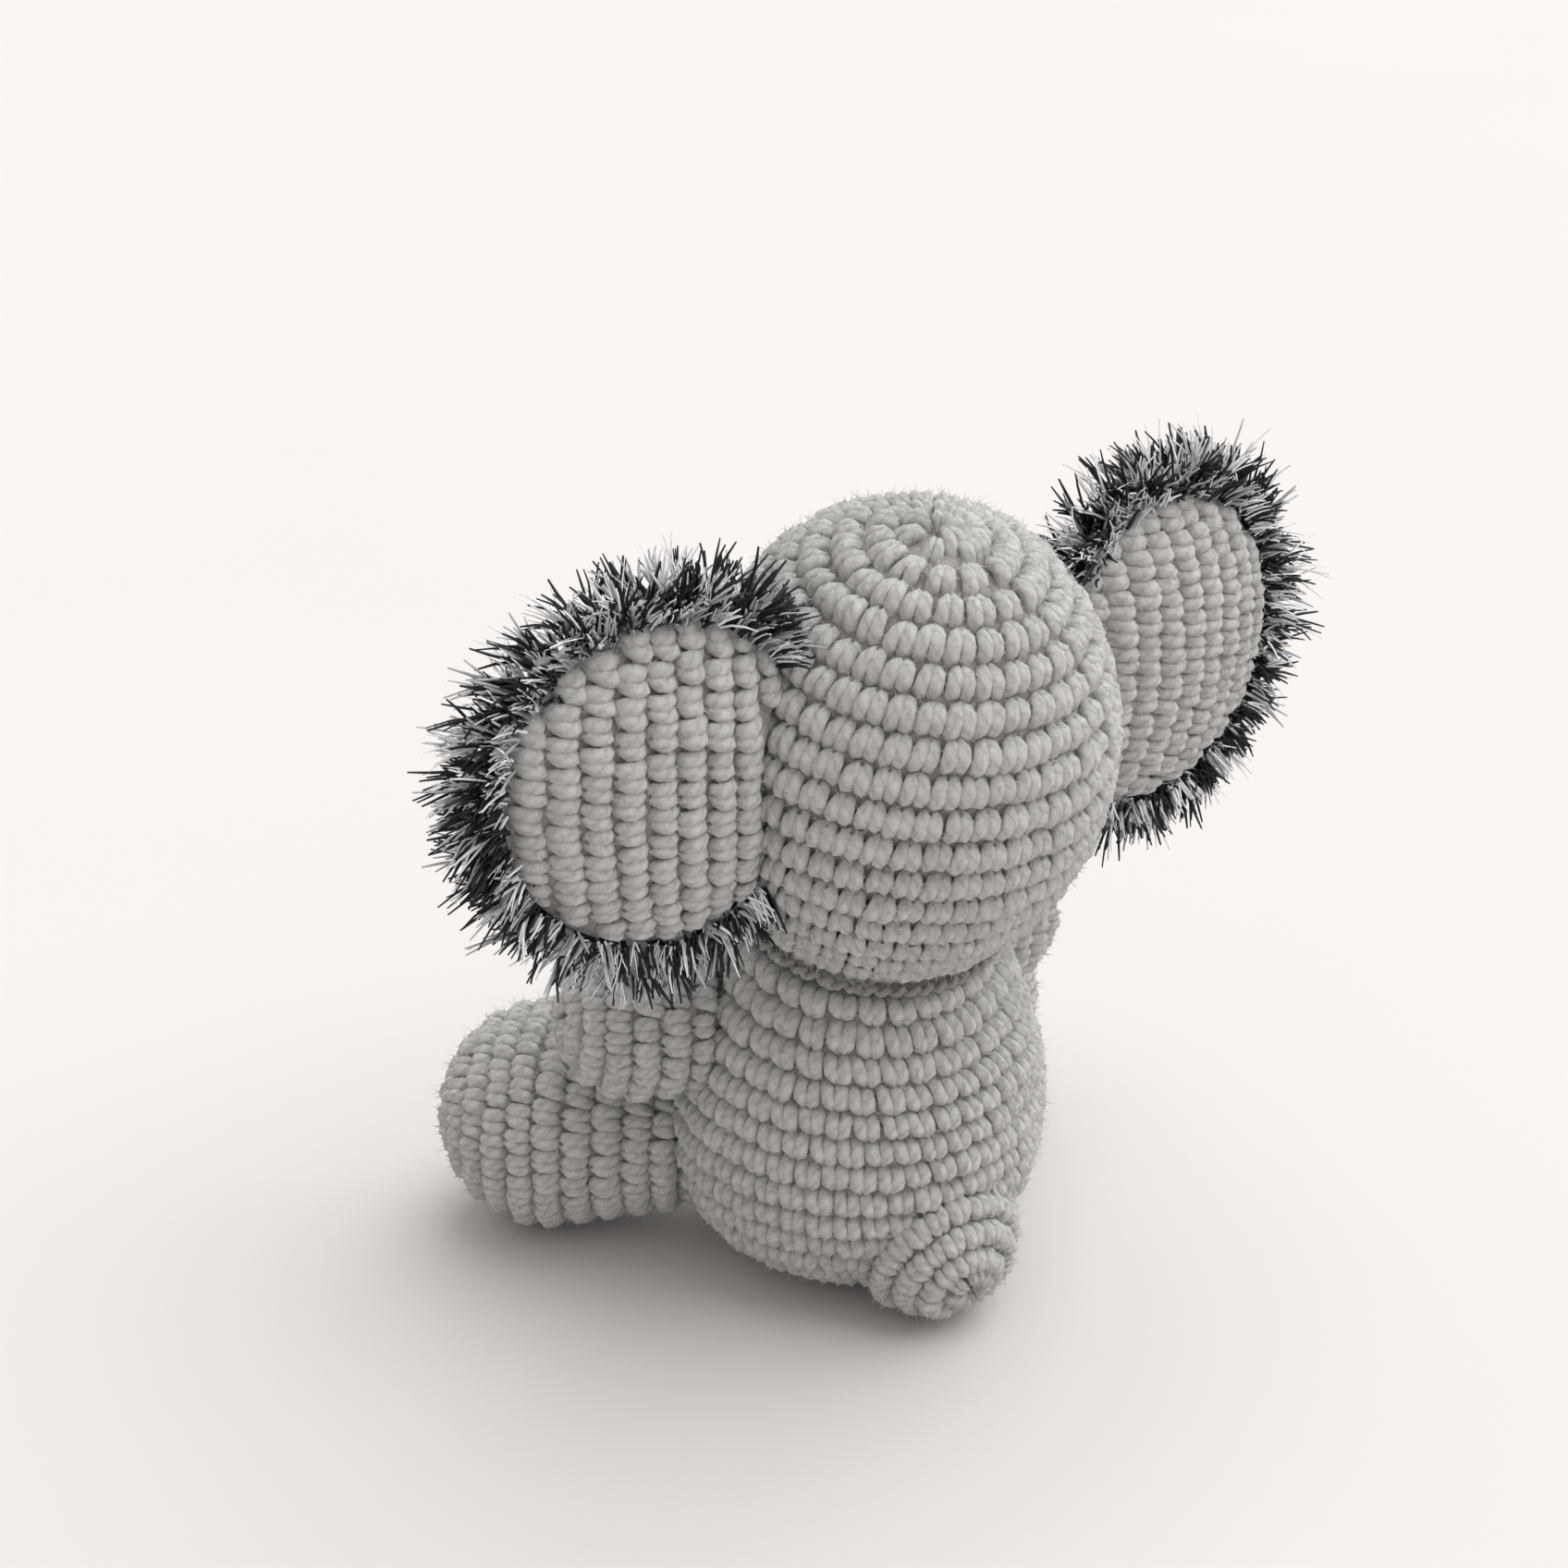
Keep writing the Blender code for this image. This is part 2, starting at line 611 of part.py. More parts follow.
def clear_of_head(thing, ear):
    """Trims an ear so that it swings on its seam without touching the head."""
    for degrees in EAR_SWING:
        cutter = head_solid("head_swing", -EAR_ROOT_GAP)
        turn = Matrix.Rotation(math.radians(degrees), 4, "Z")
        about = Matrix.Translation(ear.hinge) @ turn @ Matrix.Translation(-ear.hinge)
        cutter.data.transform(about)
        carve(thing, [cutter])
    return thing


def make_ears(yarn, lash):
    for side in (1, -1):
        ear = Ear(side)
        back = ear_panel(ear.label + "_ear_back", ear, 0.0, EAR_BACK_THICKNESS)
        front_depth = -GAP - EAR_FRONT_THICKNESS
        front = ear_panel(ear.label + "_ear_front", ear, front_depth, -GAP)
        edging = ear_edging(ear.label + "_ear_edging", ear)
        finish(clear_of_head(back, ear), yarn, ear.hinge)
        finish(clear_of_head(front, ear), lash, ear.hinge)
        finish(clear_of_head(edging, ear), lash, ear.hinge)


# ---------------------------------------------------------------- the toy

def make_toy():
    clear_scene()
    yarn = make_material("grey_yarn", GREY_YARN, 0.92)
    seam = make_material("seam_yarn", SHADED_YARN, 0.92)
    lash = make_material("lash_yarn", LASH_YARN, 0.65)
    stuffing = make_material("fibre_stuffing", STUFFING, 1.0)
    black = make_material("black_plastic", BLACK_PLASTIC, 0.12)
    white = make_material("white_plastic", WHITE_PLASTIC, 0.45)
    make_body(yarn, stuffing)
    make_neck_seam(seam)
    make_head(yarn, stuffing)
    make_eyes(black, white)
    make_trunk(yarn, stuffing)
    make_ears(yarn, lash)
    make_tail(yarn, stuffing)
    for side, label in ((1, "left"), (-1, "right")):
        arm = (mirrored(ARM_JOINT, side), mirrored(ARM_TIP, side), ARM_BALL, ARM_TIP_RADIUS)
        leg = (mirrored(LEG_JOINT, side), mirrored(LEG_TIP, side), LEG_BALL, LEG_TIP_RADIUS)
        make_limb(label + "_arm", *arm, yarn, stuffing)
        make_limb(label + "_leg", *leg, yarn, stuffing)


make_toy()
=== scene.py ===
"""Looks of the crocheted toy elephant: every round of single crochet as loops of yarn, eyelash-yarn
ears, safety eyes, pale floor and soft light. Lengths are in millimetres until a mesh is made."""
import math

import bpy
import numpy as np
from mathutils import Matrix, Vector


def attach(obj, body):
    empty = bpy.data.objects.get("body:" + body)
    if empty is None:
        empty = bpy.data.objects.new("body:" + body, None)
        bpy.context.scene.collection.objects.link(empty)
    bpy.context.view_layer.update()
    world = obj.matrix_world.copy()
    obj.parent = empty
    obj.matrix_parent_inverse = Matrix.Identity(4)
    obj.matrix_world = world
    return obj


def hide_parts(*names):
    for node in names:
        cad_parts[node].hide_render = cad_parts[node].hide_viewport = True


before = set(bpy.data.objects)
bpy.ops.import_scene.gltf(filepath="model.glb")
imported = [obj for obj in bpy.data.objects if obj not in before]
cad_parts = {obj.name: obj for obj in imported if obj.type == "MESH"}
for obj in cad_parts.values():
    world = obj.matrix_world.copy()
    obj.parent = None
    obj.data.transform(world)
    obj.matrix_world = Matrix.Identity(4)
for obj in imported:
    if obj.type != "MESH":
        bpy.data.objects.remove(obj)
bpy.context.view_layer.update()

MM = 0.001
RNG = np.random.default_rng(20)

# ---------------------------------------------------------------- sizes, as in the CAD

TOY_SHIFT = np.array([0.0, 1.9, 0.0])
X = np.array([1.0, 0.0, 0.0])
UP = np.array([0.0, 0.0, 1.0])

HEAD_CENTRE = np.array([0.0, 18.0, 126.0]) + TOY_SHIFT
HEAD_TILT = math.radians(13.0)
HEAD_UP = np.array([0.0, math.sin(HEAD_TILT), math.cos(HEAD_TILT)])
HEAD_BACK = np.array([0.0, math.cos(HEAD_TILT), -math.sin(HEAD_TILT)])
HEAD_RADIUS = 43.0
HEAD_HALF_HEIGHT = 51.0
NECK_BALL = 38.5
NECK_BALL_FROM = -30.0
NECK_JOINT = HEAD_CENTRE - HEAD_UP * (HEAD_HALF_HEIGHT - NECK_BALL)
SEAM_ANGLE = math.radians(42.8)
SEAM_YARN = 1.5

BODY_RINGS = (
    (0.0, 0.0), (0.0, 12.0), (1.6, 19.0), (5.5, 27.0), (13.0, 34.6), (25.0, 39.2), (38.0, 40.0),
    (50.0, 38.7), (60.0, 36.5), (68.0, 33.6), (76.0, 30.2), (82.0, 27.2), (87.0, 21.0),
)
BODY_SEAT_Y = 1.3
BODY_LEAN = 0.075
BODY_TILT = math.radians(4.3)
BODY_TILT_RANGE = (40.0, 80.0)
SHOULDER_HEIGHT = 85.0    # above it nothing counts as inside the body
SKIN_RINGS = 240

ARM = {"tip": (43.5, -13.0, 60.5), "joint": (37.1, -10.2, 60.5), "tip_radius": 17.5, "ball": 17.0}
LEG = {"tip": (50.0, -40.0, 25.0), "joint": (34.1, -27.0, 25.5), "tip_radius": 25.0, "ball": 21.0}
TAIL_CENTRE = np.array([0.0, 32.3, 18.6]) + TOY_SHIFT
TAIL_RADIUS = 18.6
TAIL_LOOK = (0.0, 0.93, -0.36)

TRUNK_JOINT = np.array([0.0, -45.5, -8.0])
TRUNK_BALL = 11.5
TRUNK_TIP_RADIUS = 7.5
TRUNK_LENGTH = 30.0
TRUNK_RINGS = 90
TRUNK_ANGLES = (math.radians(-18.0), math.radians(-58.0), math.radians(-26.0))

EYE_SIDE = 16.5
EYE_HEIGHT = 6.0
EYE_RADIUS = 5.0
EYE_DOME = 3.6
EYE_LIFT = 1.0
SHANK_RADIUS = 2.0
SHANK_LENGTH = 8.0

EAR_CENTRE = (59.0, 25.0, 134.5)
EAR_SWEEP = math.radians(8.0)
EAR_HALF_WIDTH = 31.0
EAR_HALF_HEIGHT = 33.0
EAR_DOME = 6.0
EAR_BACK_THICKNESS = 3.4
EAR_FRONT_THICKNESS = 3.6
EAR_FRONT_GAP = 0.4
EAR_SHEET_DEPTH = 1.0
EAR_EDGE_SHARPNESS = 6
EAR_SHELL_ROWS, EAR_SHELL_COLUMNS = 40, 30

# ---------------------------------------------------------------- yarn and stitches

STITCH_WIDTH = 5.7
ROUND_HEIGHT = 7.2
YARN_RADIUS = 1.74
SINK = 1.9                # of the middle of the yarn below the CAD's skin, so ridges end up on it
LINER_INSET = SINK + 0.8
YARN_LUMPS = 0.085
STITCH_LEAN = 0.09
STITCH_DRIFT = 0.22
STITCH_STEPS = 13
STITCH_SIDES = 6
CROWN_ROWS = 4            # the first rounds get one stitch more, so that they close up
FUZZ_COUNT = 39           # loose fibres per stitch
EAR_FUZZ_COUNT = 24
FUZZ_LENGTH = (0.7, 2.8)
FUZZ_RADIUS = 0.08
BODY_PITCH, BODY_STITCH = 6.7, 5.9
LIMB_PITCH = 6.5
TAIL_PITCH, TAIL_STITCH = 6.3, 5.6
TRUNK_PITCH, TRUNK_STITCH = 5.6, 5.2
SEWN_MARGIN = 2.6         # how deep in the body a limb's stitches are left out
BOWL_MARGIN = 3.5         # how much smaller than a limb's ball the gap in the body's stitches is
TAIL_MARGIN = 2.0
EYE_CLEARANCE = 3.2       # no head stitch is set nearer to an eye's seat
TRUNK_MARGIN = 2.4        # the same for the trunk's stitches in the head


def unit(v):
    v = np.asarray(v, float)
    return v / np.linalg.norm(v)


def mirrored(point, side):
    return np.array([point[0] * side, point[1], point[2]], float) + TOY_SHIFT


def smooth_step(t):
    t = np.clip(t, 0.0, 1.0)
    return t * t * (3 - 2 * t)


# ---------------------------------------------------------------- mesh store

class Store:
    """Collects points and faces for one object, with a place along the yarn for every point."""

    def __init__(self):
        self.points, self.marks, self.faces, self.slots = [], [], [], []
        self.count = 0

    def add(self, points, faces, marks, slot=0):
        points = np.asarray(points, float).reshape(-1, 3)
        self.points.append(points)
        self.marks.append(np.asarray(marks, float).reshape(-1, 2))
        faces = np.asarray(faces, int)
        if faces.shape[1] == 3:
            faces = np.column_stack((faces, np.full(len(faces), -1 - self.count)))
        self.faces.append(faces + self.count)
        self.slots.append(np.full(len(faces), slot))
        self.count += len(points)

    def build(self, name, materials):
        points = np.concatenate(self.points) * MM
        points[:, 2] = np.maximum(points[:, 2], 0.0)
        marks = np.concatenate(self.marks)
        faces = np.concatenate(self.faces)
        slots = np.concatenate(self.slots)
        sides = np.where(faces[:, 3] < 0, 3, 4)
        loops = faces[faces >= 0]
        mesh = bpy.data.meshes.new(name)
        mesh.vertices.add(len(points))
        mesh.vertices.foreach_set("co", points.ravel())
        mesh.loops.add(len(loops))
        mesh.loops.foreach_set("vertex_index", loops)
        mesh.polygons.add(len(faces))
        mesh.polygons.foreach_set("loop_start", np.concatenate(([0], np.cumsum(sides)[:-1])))
        mesh.polygons.foreach_set("material_index", slots)
        mesh.update(calc_edges=True)
        layer = mesh.uv_layers.new(name="yarn")
        layer.data.foreach_set("uv", marks[loops].ravel())
        for material in materials:
            mesh.materials.append(material)
        mesh.shade_smooth()
        thing = bpy.data.objects.new(name, mesh)
        bpy.context.scene.collection.objects.link(thing)
        return thing


def sweep(path, radii, sides):
    """A tube along a path. Returns its points, its faces and (length along, share around)."""
    path = np.asarray(path, float)
    steps = np.diff(path, axis=0)
    lengths = np.concatenate(([0.0], np.cumsum(np.linalg.norm(steps, axis=1))))
    tangents = np.gradient(path, axis=0)
    tangents /= np.linalg.norm(tangents, axis=1)[:, None]
    normal = unit(np.cross(tangents[0], [0.31, 0.17, 0.93]))
    turn = 2 * math.pi * np.arange(sides) / sides
    points, marks = [], []
    for i, tangent in enumerate(tangents):
        normal = unit(normal - tangent * np.dot(normal, tangent))
        other = np.cross(tangent, normal)
        ring = np.cos(turn)[:, None] * normal + np.sin(turn)[:, None] * other
        points.append(path[i] + ring * radii[i])
        marks.append(np.column_stack((np.full(sides, lengths[i]), turn / (2 * math.pi))))
    return np.concatenate(points), tube_faces(len(path), sides), np.concatenate(marks)


def tube_faces(rings, sides):
    ring, k = np.meshgrid(np.arange(rings - 1), np.arange(sides), indexing="ij")
    nxt = (k + 1) % sides
    low = ring * sides
    faces = np.stack((low + k, low + nxt, low + sides + nxt, low + sides + k), axis=-1)
    return faces.reshape(-1, 4)


def stitch_template(steps=STITCH_STEPS, sides=STITCH_SIDES):
    """One stitch: the yarn rises out of the groove, over the ridge, dives behind the row before
    and comes back beside itself. Across is sideways, along points to the row before, out is up."""
    control = np.array([
        (-1.5, -3.0, -2.8), (-1.47, -2.55, -1.2), (-1.4, -1.5, 0.25), (-1.29, -0.1, 0.72),
        (-1.13, 1.15, 0.45), (-0.75, 2.0, -0.5), (0.0, 2.45, -1.4),
    ])
    other = control[:-1][::-1] * (-1, 1, 1)
    path = resample(np.vstack((control, other)), steps)
    return sweep(path, np.full(steps, YARN_RADIUS), sides)


def resample(points, count):
    """Evenly spaced points on a smooth curve through the given ones."""
    points = np.asarray(points, float)
    fine = []
    padded = np.vstack((2 * points[0] - points[1], points, 2 * points[-1] - points[-2]))
    for i in range(1, len(padded) - 2):
        a, b, c, d = padded[i - 1:i + 3]
        t = np.linspace(0, 1, 12, endpoint=False)[:, None]
        fine.append(0.5 * (2 * b + (c - a) * t + (2 * a - 5 * b + 4 * c - d) * t ** 2
                           + (3 * b - a - 3 * c + d) * t ** 3))
    fine = np.vstack(fine + [points[-1:]])
    length = np.concatenate(([0.0], np.cumsum(np.linalg.norm(np.diff(fine, axis=0), axis=1))))
    at = np.linspace(0, length[-1], count)
    return np.column_stack([np.interp(at, length, fine[:, i]) for i in range(3)])


TEMPLATE = stitch_template()


# ---------------------------------------------------------------- skins: the surfaces that carry stitches

class Skin:
    """A surface of rounds along a spine, from the round where the crochet was begun."""

    def __init__(self, centres, across, along, radii):
        self.centres, self.across, self.along = centres, across, along
        self.radii = radii
        self.onward = np.cross(across, along)
        flow = np.gradient(centres, axis=0)
        if np.sum(flow * self.onward) < 0:
            self.onward = -self.onward
        rise = np.sum(flow * self.onward, axis=1)
        spread = np.gradient(radii)
        pace = np.maximum(np.hypot(rise, spread), 1e-9)
        step = np.linalg.norm(np.diff(centres, axis=0), axis=1)
        run = np.hypot(step, np.diff(radii))
        self.s = np.concatenate(([0.0], np.cumsum(run)))
        self.out_radial = rise / pace
        self.out_onward = -spread / pace
        self.length = self.s[-1]

    def read(self, table, s):
        if table.ndim == 1:
            return np.interp(s, self.s, table)
        return np.stack([np.interp(s, self.s, table[:, i]) for i in range(3)], axis=-1)

    def radius(self, s):
        return self.read(self.radii, s)

    def point(self, theta, s, lift):
        """Points at an angle round the spine, a length from the start and a lift off the skin."""
        radial = (np.cos(theta)[..., None] * self.read(self.across, s)
                  + np.sin(theta)[..., None] * self.read(self.along, s))
        normal = (radial * self.read(self.out_radial, s)[..., None]
                  + self.read(self.onward, s) * self.read(self.out_onward, s)[..., None])
        return self.read(self.centres, s) + radial * self.radius(s)[..., None] + normal * lift[..., None]


def egg_skin():
    """The head, from its crown down."""
    t = np.linspace(0.0, math.pi, SKIN_RINGS)
    height = HEAD_HALF_HEIGHT * np.cos(t)
    egg = HEAD_RADIUS * np.sin(t)
    drop = height + HEAD_HALF_HEIGHT - NECK_BALL
    under = np.sqrt(np.clip(NECK_BALL ** 2 - drop ** 2, 0, None))
    radii = np.where(height < NECK_BALL_FROM, under, egg)
    centres = HEAD_CENTRE + height[:, None] * HEAD_UP
    ones = np.ones((len(t), 1))
    return Skin(centres, ones * X, ones * HEAD_BACK, radii)


def body_skin():
    """The body, from its seat up to the neck. Its rounds tilt to meet the head squarely."""
    rings = resample([(h, r, 0.0) for h, r in BODY_RINGS], SKIN_RINGS)
    height, radii = np.clip(rings[:, 0], 0, None), np.clip(rings[:, 1], 0, None)
    seat = np.array([0.0, BODY_SEAT_Y, 0.0]) + TOY_SHIFT
    centres = seat + height[:, None] * np.array([0.0, BODY_LEAN, 1.0])
    low, high = BODY_TILT_RANGE
    tilt = BODY_TILT * np.clip(height / low, 0, 1)
    tilt = tilt + (HEAD_TILT - BODY_TILT) * smooth_step((height - low) / (high - low))
    along = np.column_stack((np.zeros_like(tilt), np.cos(tilt), -np.sin(tilt)))
    return Skin(centres, np.ones((SKIN_RINGS, 1)) * X, along, radii)


def limb_skin(joint, tip, ball, tip_radius, stop=0.85):
    """A stuffed stub, from its tip to the ball it rocks on."""
    axis = unit(tip - joint)
    length = np.linalg.norm(tip - joint)
    across = unit(np.cross(UP, axis))
    along = np.cross(axis, across)
    t = np.linspace(0, math.pi / 2, 70)
    radii = np.concatenate((tip_radius * np.sin(t), ball * np.cos(t * stop)))
    height = np.concatenate((length + tip_radius * np.cos(t), -ball * np.sin(t * stop)))
    centres = joint + height[:, None] * axis
    ones = np.ones((len(radii), 1))
    return Skin(centres, ones * across, ones * along, radii)


def trunk_angle(share):
    start, middle, end = TRUNK_ANGLES
    rise = np.sin(math.pi * share)
    return np.where(share < 0.5, start + (middle - start) * rise, end + (middle - end) * rise)


def trunk_skin():
    """The trunk, from its tip back to the face."""
    share = np.linspace(0, 1, TRUNK_RINGS)
    angle = trunk_angle(share)
    step = TRUNK_LENGTH / (TRUNK_RINGS - 1)
    way = -np.cos(angle)[:, None] * HEAD_BACK + np.sin(angle)[:, None] * HEAD_UP
    root = HEAD_CENTRE + TRUNK_JOINT[1] * HEAD_BACK + TRUNK_JOINT[2] * HEAD_UP
    spine = root + np.vstack((np.zeros((1, 3)), np.cumsum(way[:-1] * step, axis=0)))
    radii = TRUNK_BALL + (TRUNK_TIP_RADIUS - TRUNK_BALL) * share
    t = np.linspace(0, math.pi / 2, 30)[1:]
    tip_c = spine[-1] + np.sin(t)[:, None] * way[-1] * TRUNK_TIP_RADIUS
    base_c = root - np.sin(t * 0.8)[:, None] * way[0] * TRUNK_BALL
    centres = np.vstack((base_c[::-1], spine, tip_c))[::-1]
    all_radii = np.concatenate((TRUNK_BALL * np.cos(t * 0.8)[::-1], radii, TRUNK_TIP_RADIUS * np.cos(t)))
    ways = np.vstack((np.tile(way[0], (len(t), 1)), way, np.tile(way[-1], (len(t), 1))))[::-1]
    across = np.tile(X, (len(ways), 1))
    return Skin(centres, across, np.cross(ways, across), np.clip(all_radii[::-1], 0, None)), root


# ---------------------------------------------------------------- rounds of stitches

def keep_all(points):
    return np.ones(len(points), bool)


def add_rounds(store, skin, keep=keep_all, pitch=ROUND_HEIGHT, start=0.5, end=0.0, width=STITCH_WIDTH):
    """Works the skin in a spiral of single crochet. keep says which stitches show."""
    rows = int((skin.length - end) / pitch - start) + 1
    thetas, alongs, widths = [], [], []
    offset = RNG.uniform(0, 6)
    for row in range(rows):
        at = (row + start) * pitch
        around = 2 * math.pi * max(float(skin.radius(np.array(at))), 1.2)
        count = max(6, int(round(around / width)) + (row < CROWN_ROWS))
        offset += STITCH_DRIFT * 2 * math.pi / count
        theta = offset + 2 * math.pi * np.arange(count) / count
        share = np.arange(count) / count
        turn = (0.5 * share - 0.08 if row == 0 else share - 0.5) * pitch
        thetas.append(theta)
        alongs.append(np.full(count, at) + turn)
        widths.append(np.full(count, around / count / width))
    theta = np.concatenate(thetas)
    along = np.clip(np.concatenate(alongs), 0.15 * pitch, skin.length - 0.1 * pitch)
    scale = np.concatenate(widths)
    chosen = keep(skin.point(theta, along, np.zeros_like(theta)))
    place_stitches(store, skin, theta[chosen], along[chosen], scale[chosen], pitch / ROUND_HEIGHT)


def shaped_stitches(scale, tall):
    """Every stitch's own across, along and out, each a little unlike the others."""
    points, _, _ = TEMPLATE
    n = len(scale)
    jitter = RNG.normal(0, 1, (n, 6))
    across = points[None, :, 0] * (scale * (1 + 0.04 * jitter[:, 0]))[:, None]
    along = points[None, :, 1] * tall * (1 + 0.04 * jitter[:, 1])[:, None]
    out = points[None, :, 2] + (0.2 * jitter[:, 2])[:, None]
    across, along, out = (v + RNG.normal(0, YARN_LUMPS, v.shape) for v in (across, along, out))
    across = across + along * (STITCH_LEAN + 0.06 * jitter[:, 3])[:, None] + (0.12 * jitter[:, 5])[:, None]
    along = along + 0.18 * jitter[:, 4][:, None]
    return across, along, out - SINK


def store_stitches(store, placed, fuzz):
    """Adds placed stitches, and loose fibres that stand off them."""
    points, faces, marks = TEMPLATE
    n = len(placed)
    offsets = (np.arange(n) * len(points))[:, None, None]
    yarn = np.tile(marks, (n, 1, 1))
    yarn[:, :, 0] += RNG.uniform(0, 40, n)[:, None]
    store.add(placed, (faces[None] + offsets).reshape(-1, 4), yarn)
    rings = placed.reshape(n, STITCH_STEPS, STITCH_SIDES, 3)
    middles = rings.mean(axis=2)
    count = int(n * fuzz)
    which = RNG.integers(0, n, count)
    step = RNG.integers(2, STITCH_STEPS - 2, count)
    turn = RNG.integers(0, STITCH_SIDES, count)
    root = rings[which, step, turn]
    way = unit_rows(root - middles[which, step]) + RNG.normal(0, 0.55, (count, 3))
    add_fuzz(store, root, unit_rows(way))


def unit_rows(v):
    return v / np.maximum(np.linalg.norm(v, axis=-1), 1e-9)[..., None]


def add_fuzz(store, root, way):
    """Loose fibres, each a thin three-sided spike."""
    n = len(root)
    side = unit_rows(np.cross(way, RNG.normal(0, 1, (n, 3))))
    other = np.cross(way, side)
    tip = root + way * RNG.uniform(*FUZZ_LENGTH, n)[:, None]
    turn = 2 * math.pi * np.arange(3) / 3
    foot = root[:, None] + FUZZ_RADIUS * (np.cos(turn)[None, :, None] * side[:, None]
                                          + np.sin(turn)[None, :, None] * other[:, None])
    points = np.concatenate((foot, tip[:, None]), axis=1)
    faces = np.array([[0, 1, 3], [1, 2, 3], [2, 0, 3]])
    offsets = (np.arange(n) * 4)[:, None, None]
    marks = np.zeros((n * 4, 2))
    store.add(points, (faces[None] + offsets).reshape(-1, 3), marks)


def place_stitches(store, skin, theta, along, scale, tall):
    """Bends each stitch round the skin, mostly by the radius at its middle, so that rounds close."""
    if len(theta) == 0:
        return
    a, b, c = shaped_stitches(scale, tall)
    s = np.clip(along[:, None] - b, 0.0, skin.length)
    here = np.maximum(skin.radius(np.clip(along, 0, skin.length)), 2.2)
    radius = 0.8 * here[:, None] + 0.2 * np.maximum(skin.radius(s), 1.6)
    store_stitches(store, skin.point(theta[:, None] + a / radius, s, c), FUZZ_COUNT)


def add_liner(store, skin, sides=72, rows=60, slot=1, drop=None):
    """The cloth under the loops; its material is painted darker than the yarn as shade in the gaps. drop
    says which of its corners lie inside a neighbour.
    """
    s = np.linspace(0, skin.length, rows)
    theta = 2 * math.pi * np.arange(sides) / sides
    grid_s, grid_t = np.meshgrid(s, theta, indexing="ij")
    inset = np.full_like(grid_s, -LINER_INSET)
    points = skin.point(grid_t, grid_s, inset).reshape(-1, 3)
    faces = tube_faces(rows, sides)
    if drop is not None:
        hidden = drop(points)
        faces = faces[~hidden[faces].all(axis=1)]
    if skin_turns_inward(points, faces, skin):
        faces = faces[:, ::-1]
    store.add(points, faces, np.zeros((len(points), 2)), slot)


def skin_turns_inward(points, faces, skin):
    corner = points[faces[:, :3]]
    normal = np.cross(corner[:, 1] - corner[:, 0], corner[:, 2] - corner[:, 0])
    middle = skin.centres[len(skin.centres) // 2]
    return np.sum(normal * (corner[:, 0] - middle)) < 0


def far_from(centre, radius):
    return lambda points: np.linalg.norm(points - centre, axis=-1) > radius


def near(centre, radius):
    return lambda points: np.linalg.norm(points - centre, axis=-1) < radius


def inside_body(points, margin):
    height = points[..., 2]
    table = np.array(BODY_RINGS[1:])
    radius = np.interp(height, table[:, 0], table[:, 1])
    middle = BODY_SEAT_Y + BODY_LEAN * height + TOY_SHIFT[1]
    return (np.hypot(points[..., 0], points[..., 1] - middle) < radius - margin) & (height < SHOULDER_HEIGHT)


def inside_head(points, grow):
    local = points - HEAD_CENTRE
    up = local @ HEAD_UP
    back = local @ HEAD_BACK
    flat = (local[..., 0] ** 2 + back ** 2) / (HEAD_RADIUS + grow) ** 2
    return flat + up ** 2 / (HEAD_HALF_HEIGHT + grow) ** 2 < 1


# ---------------------------------------------------------------- ears

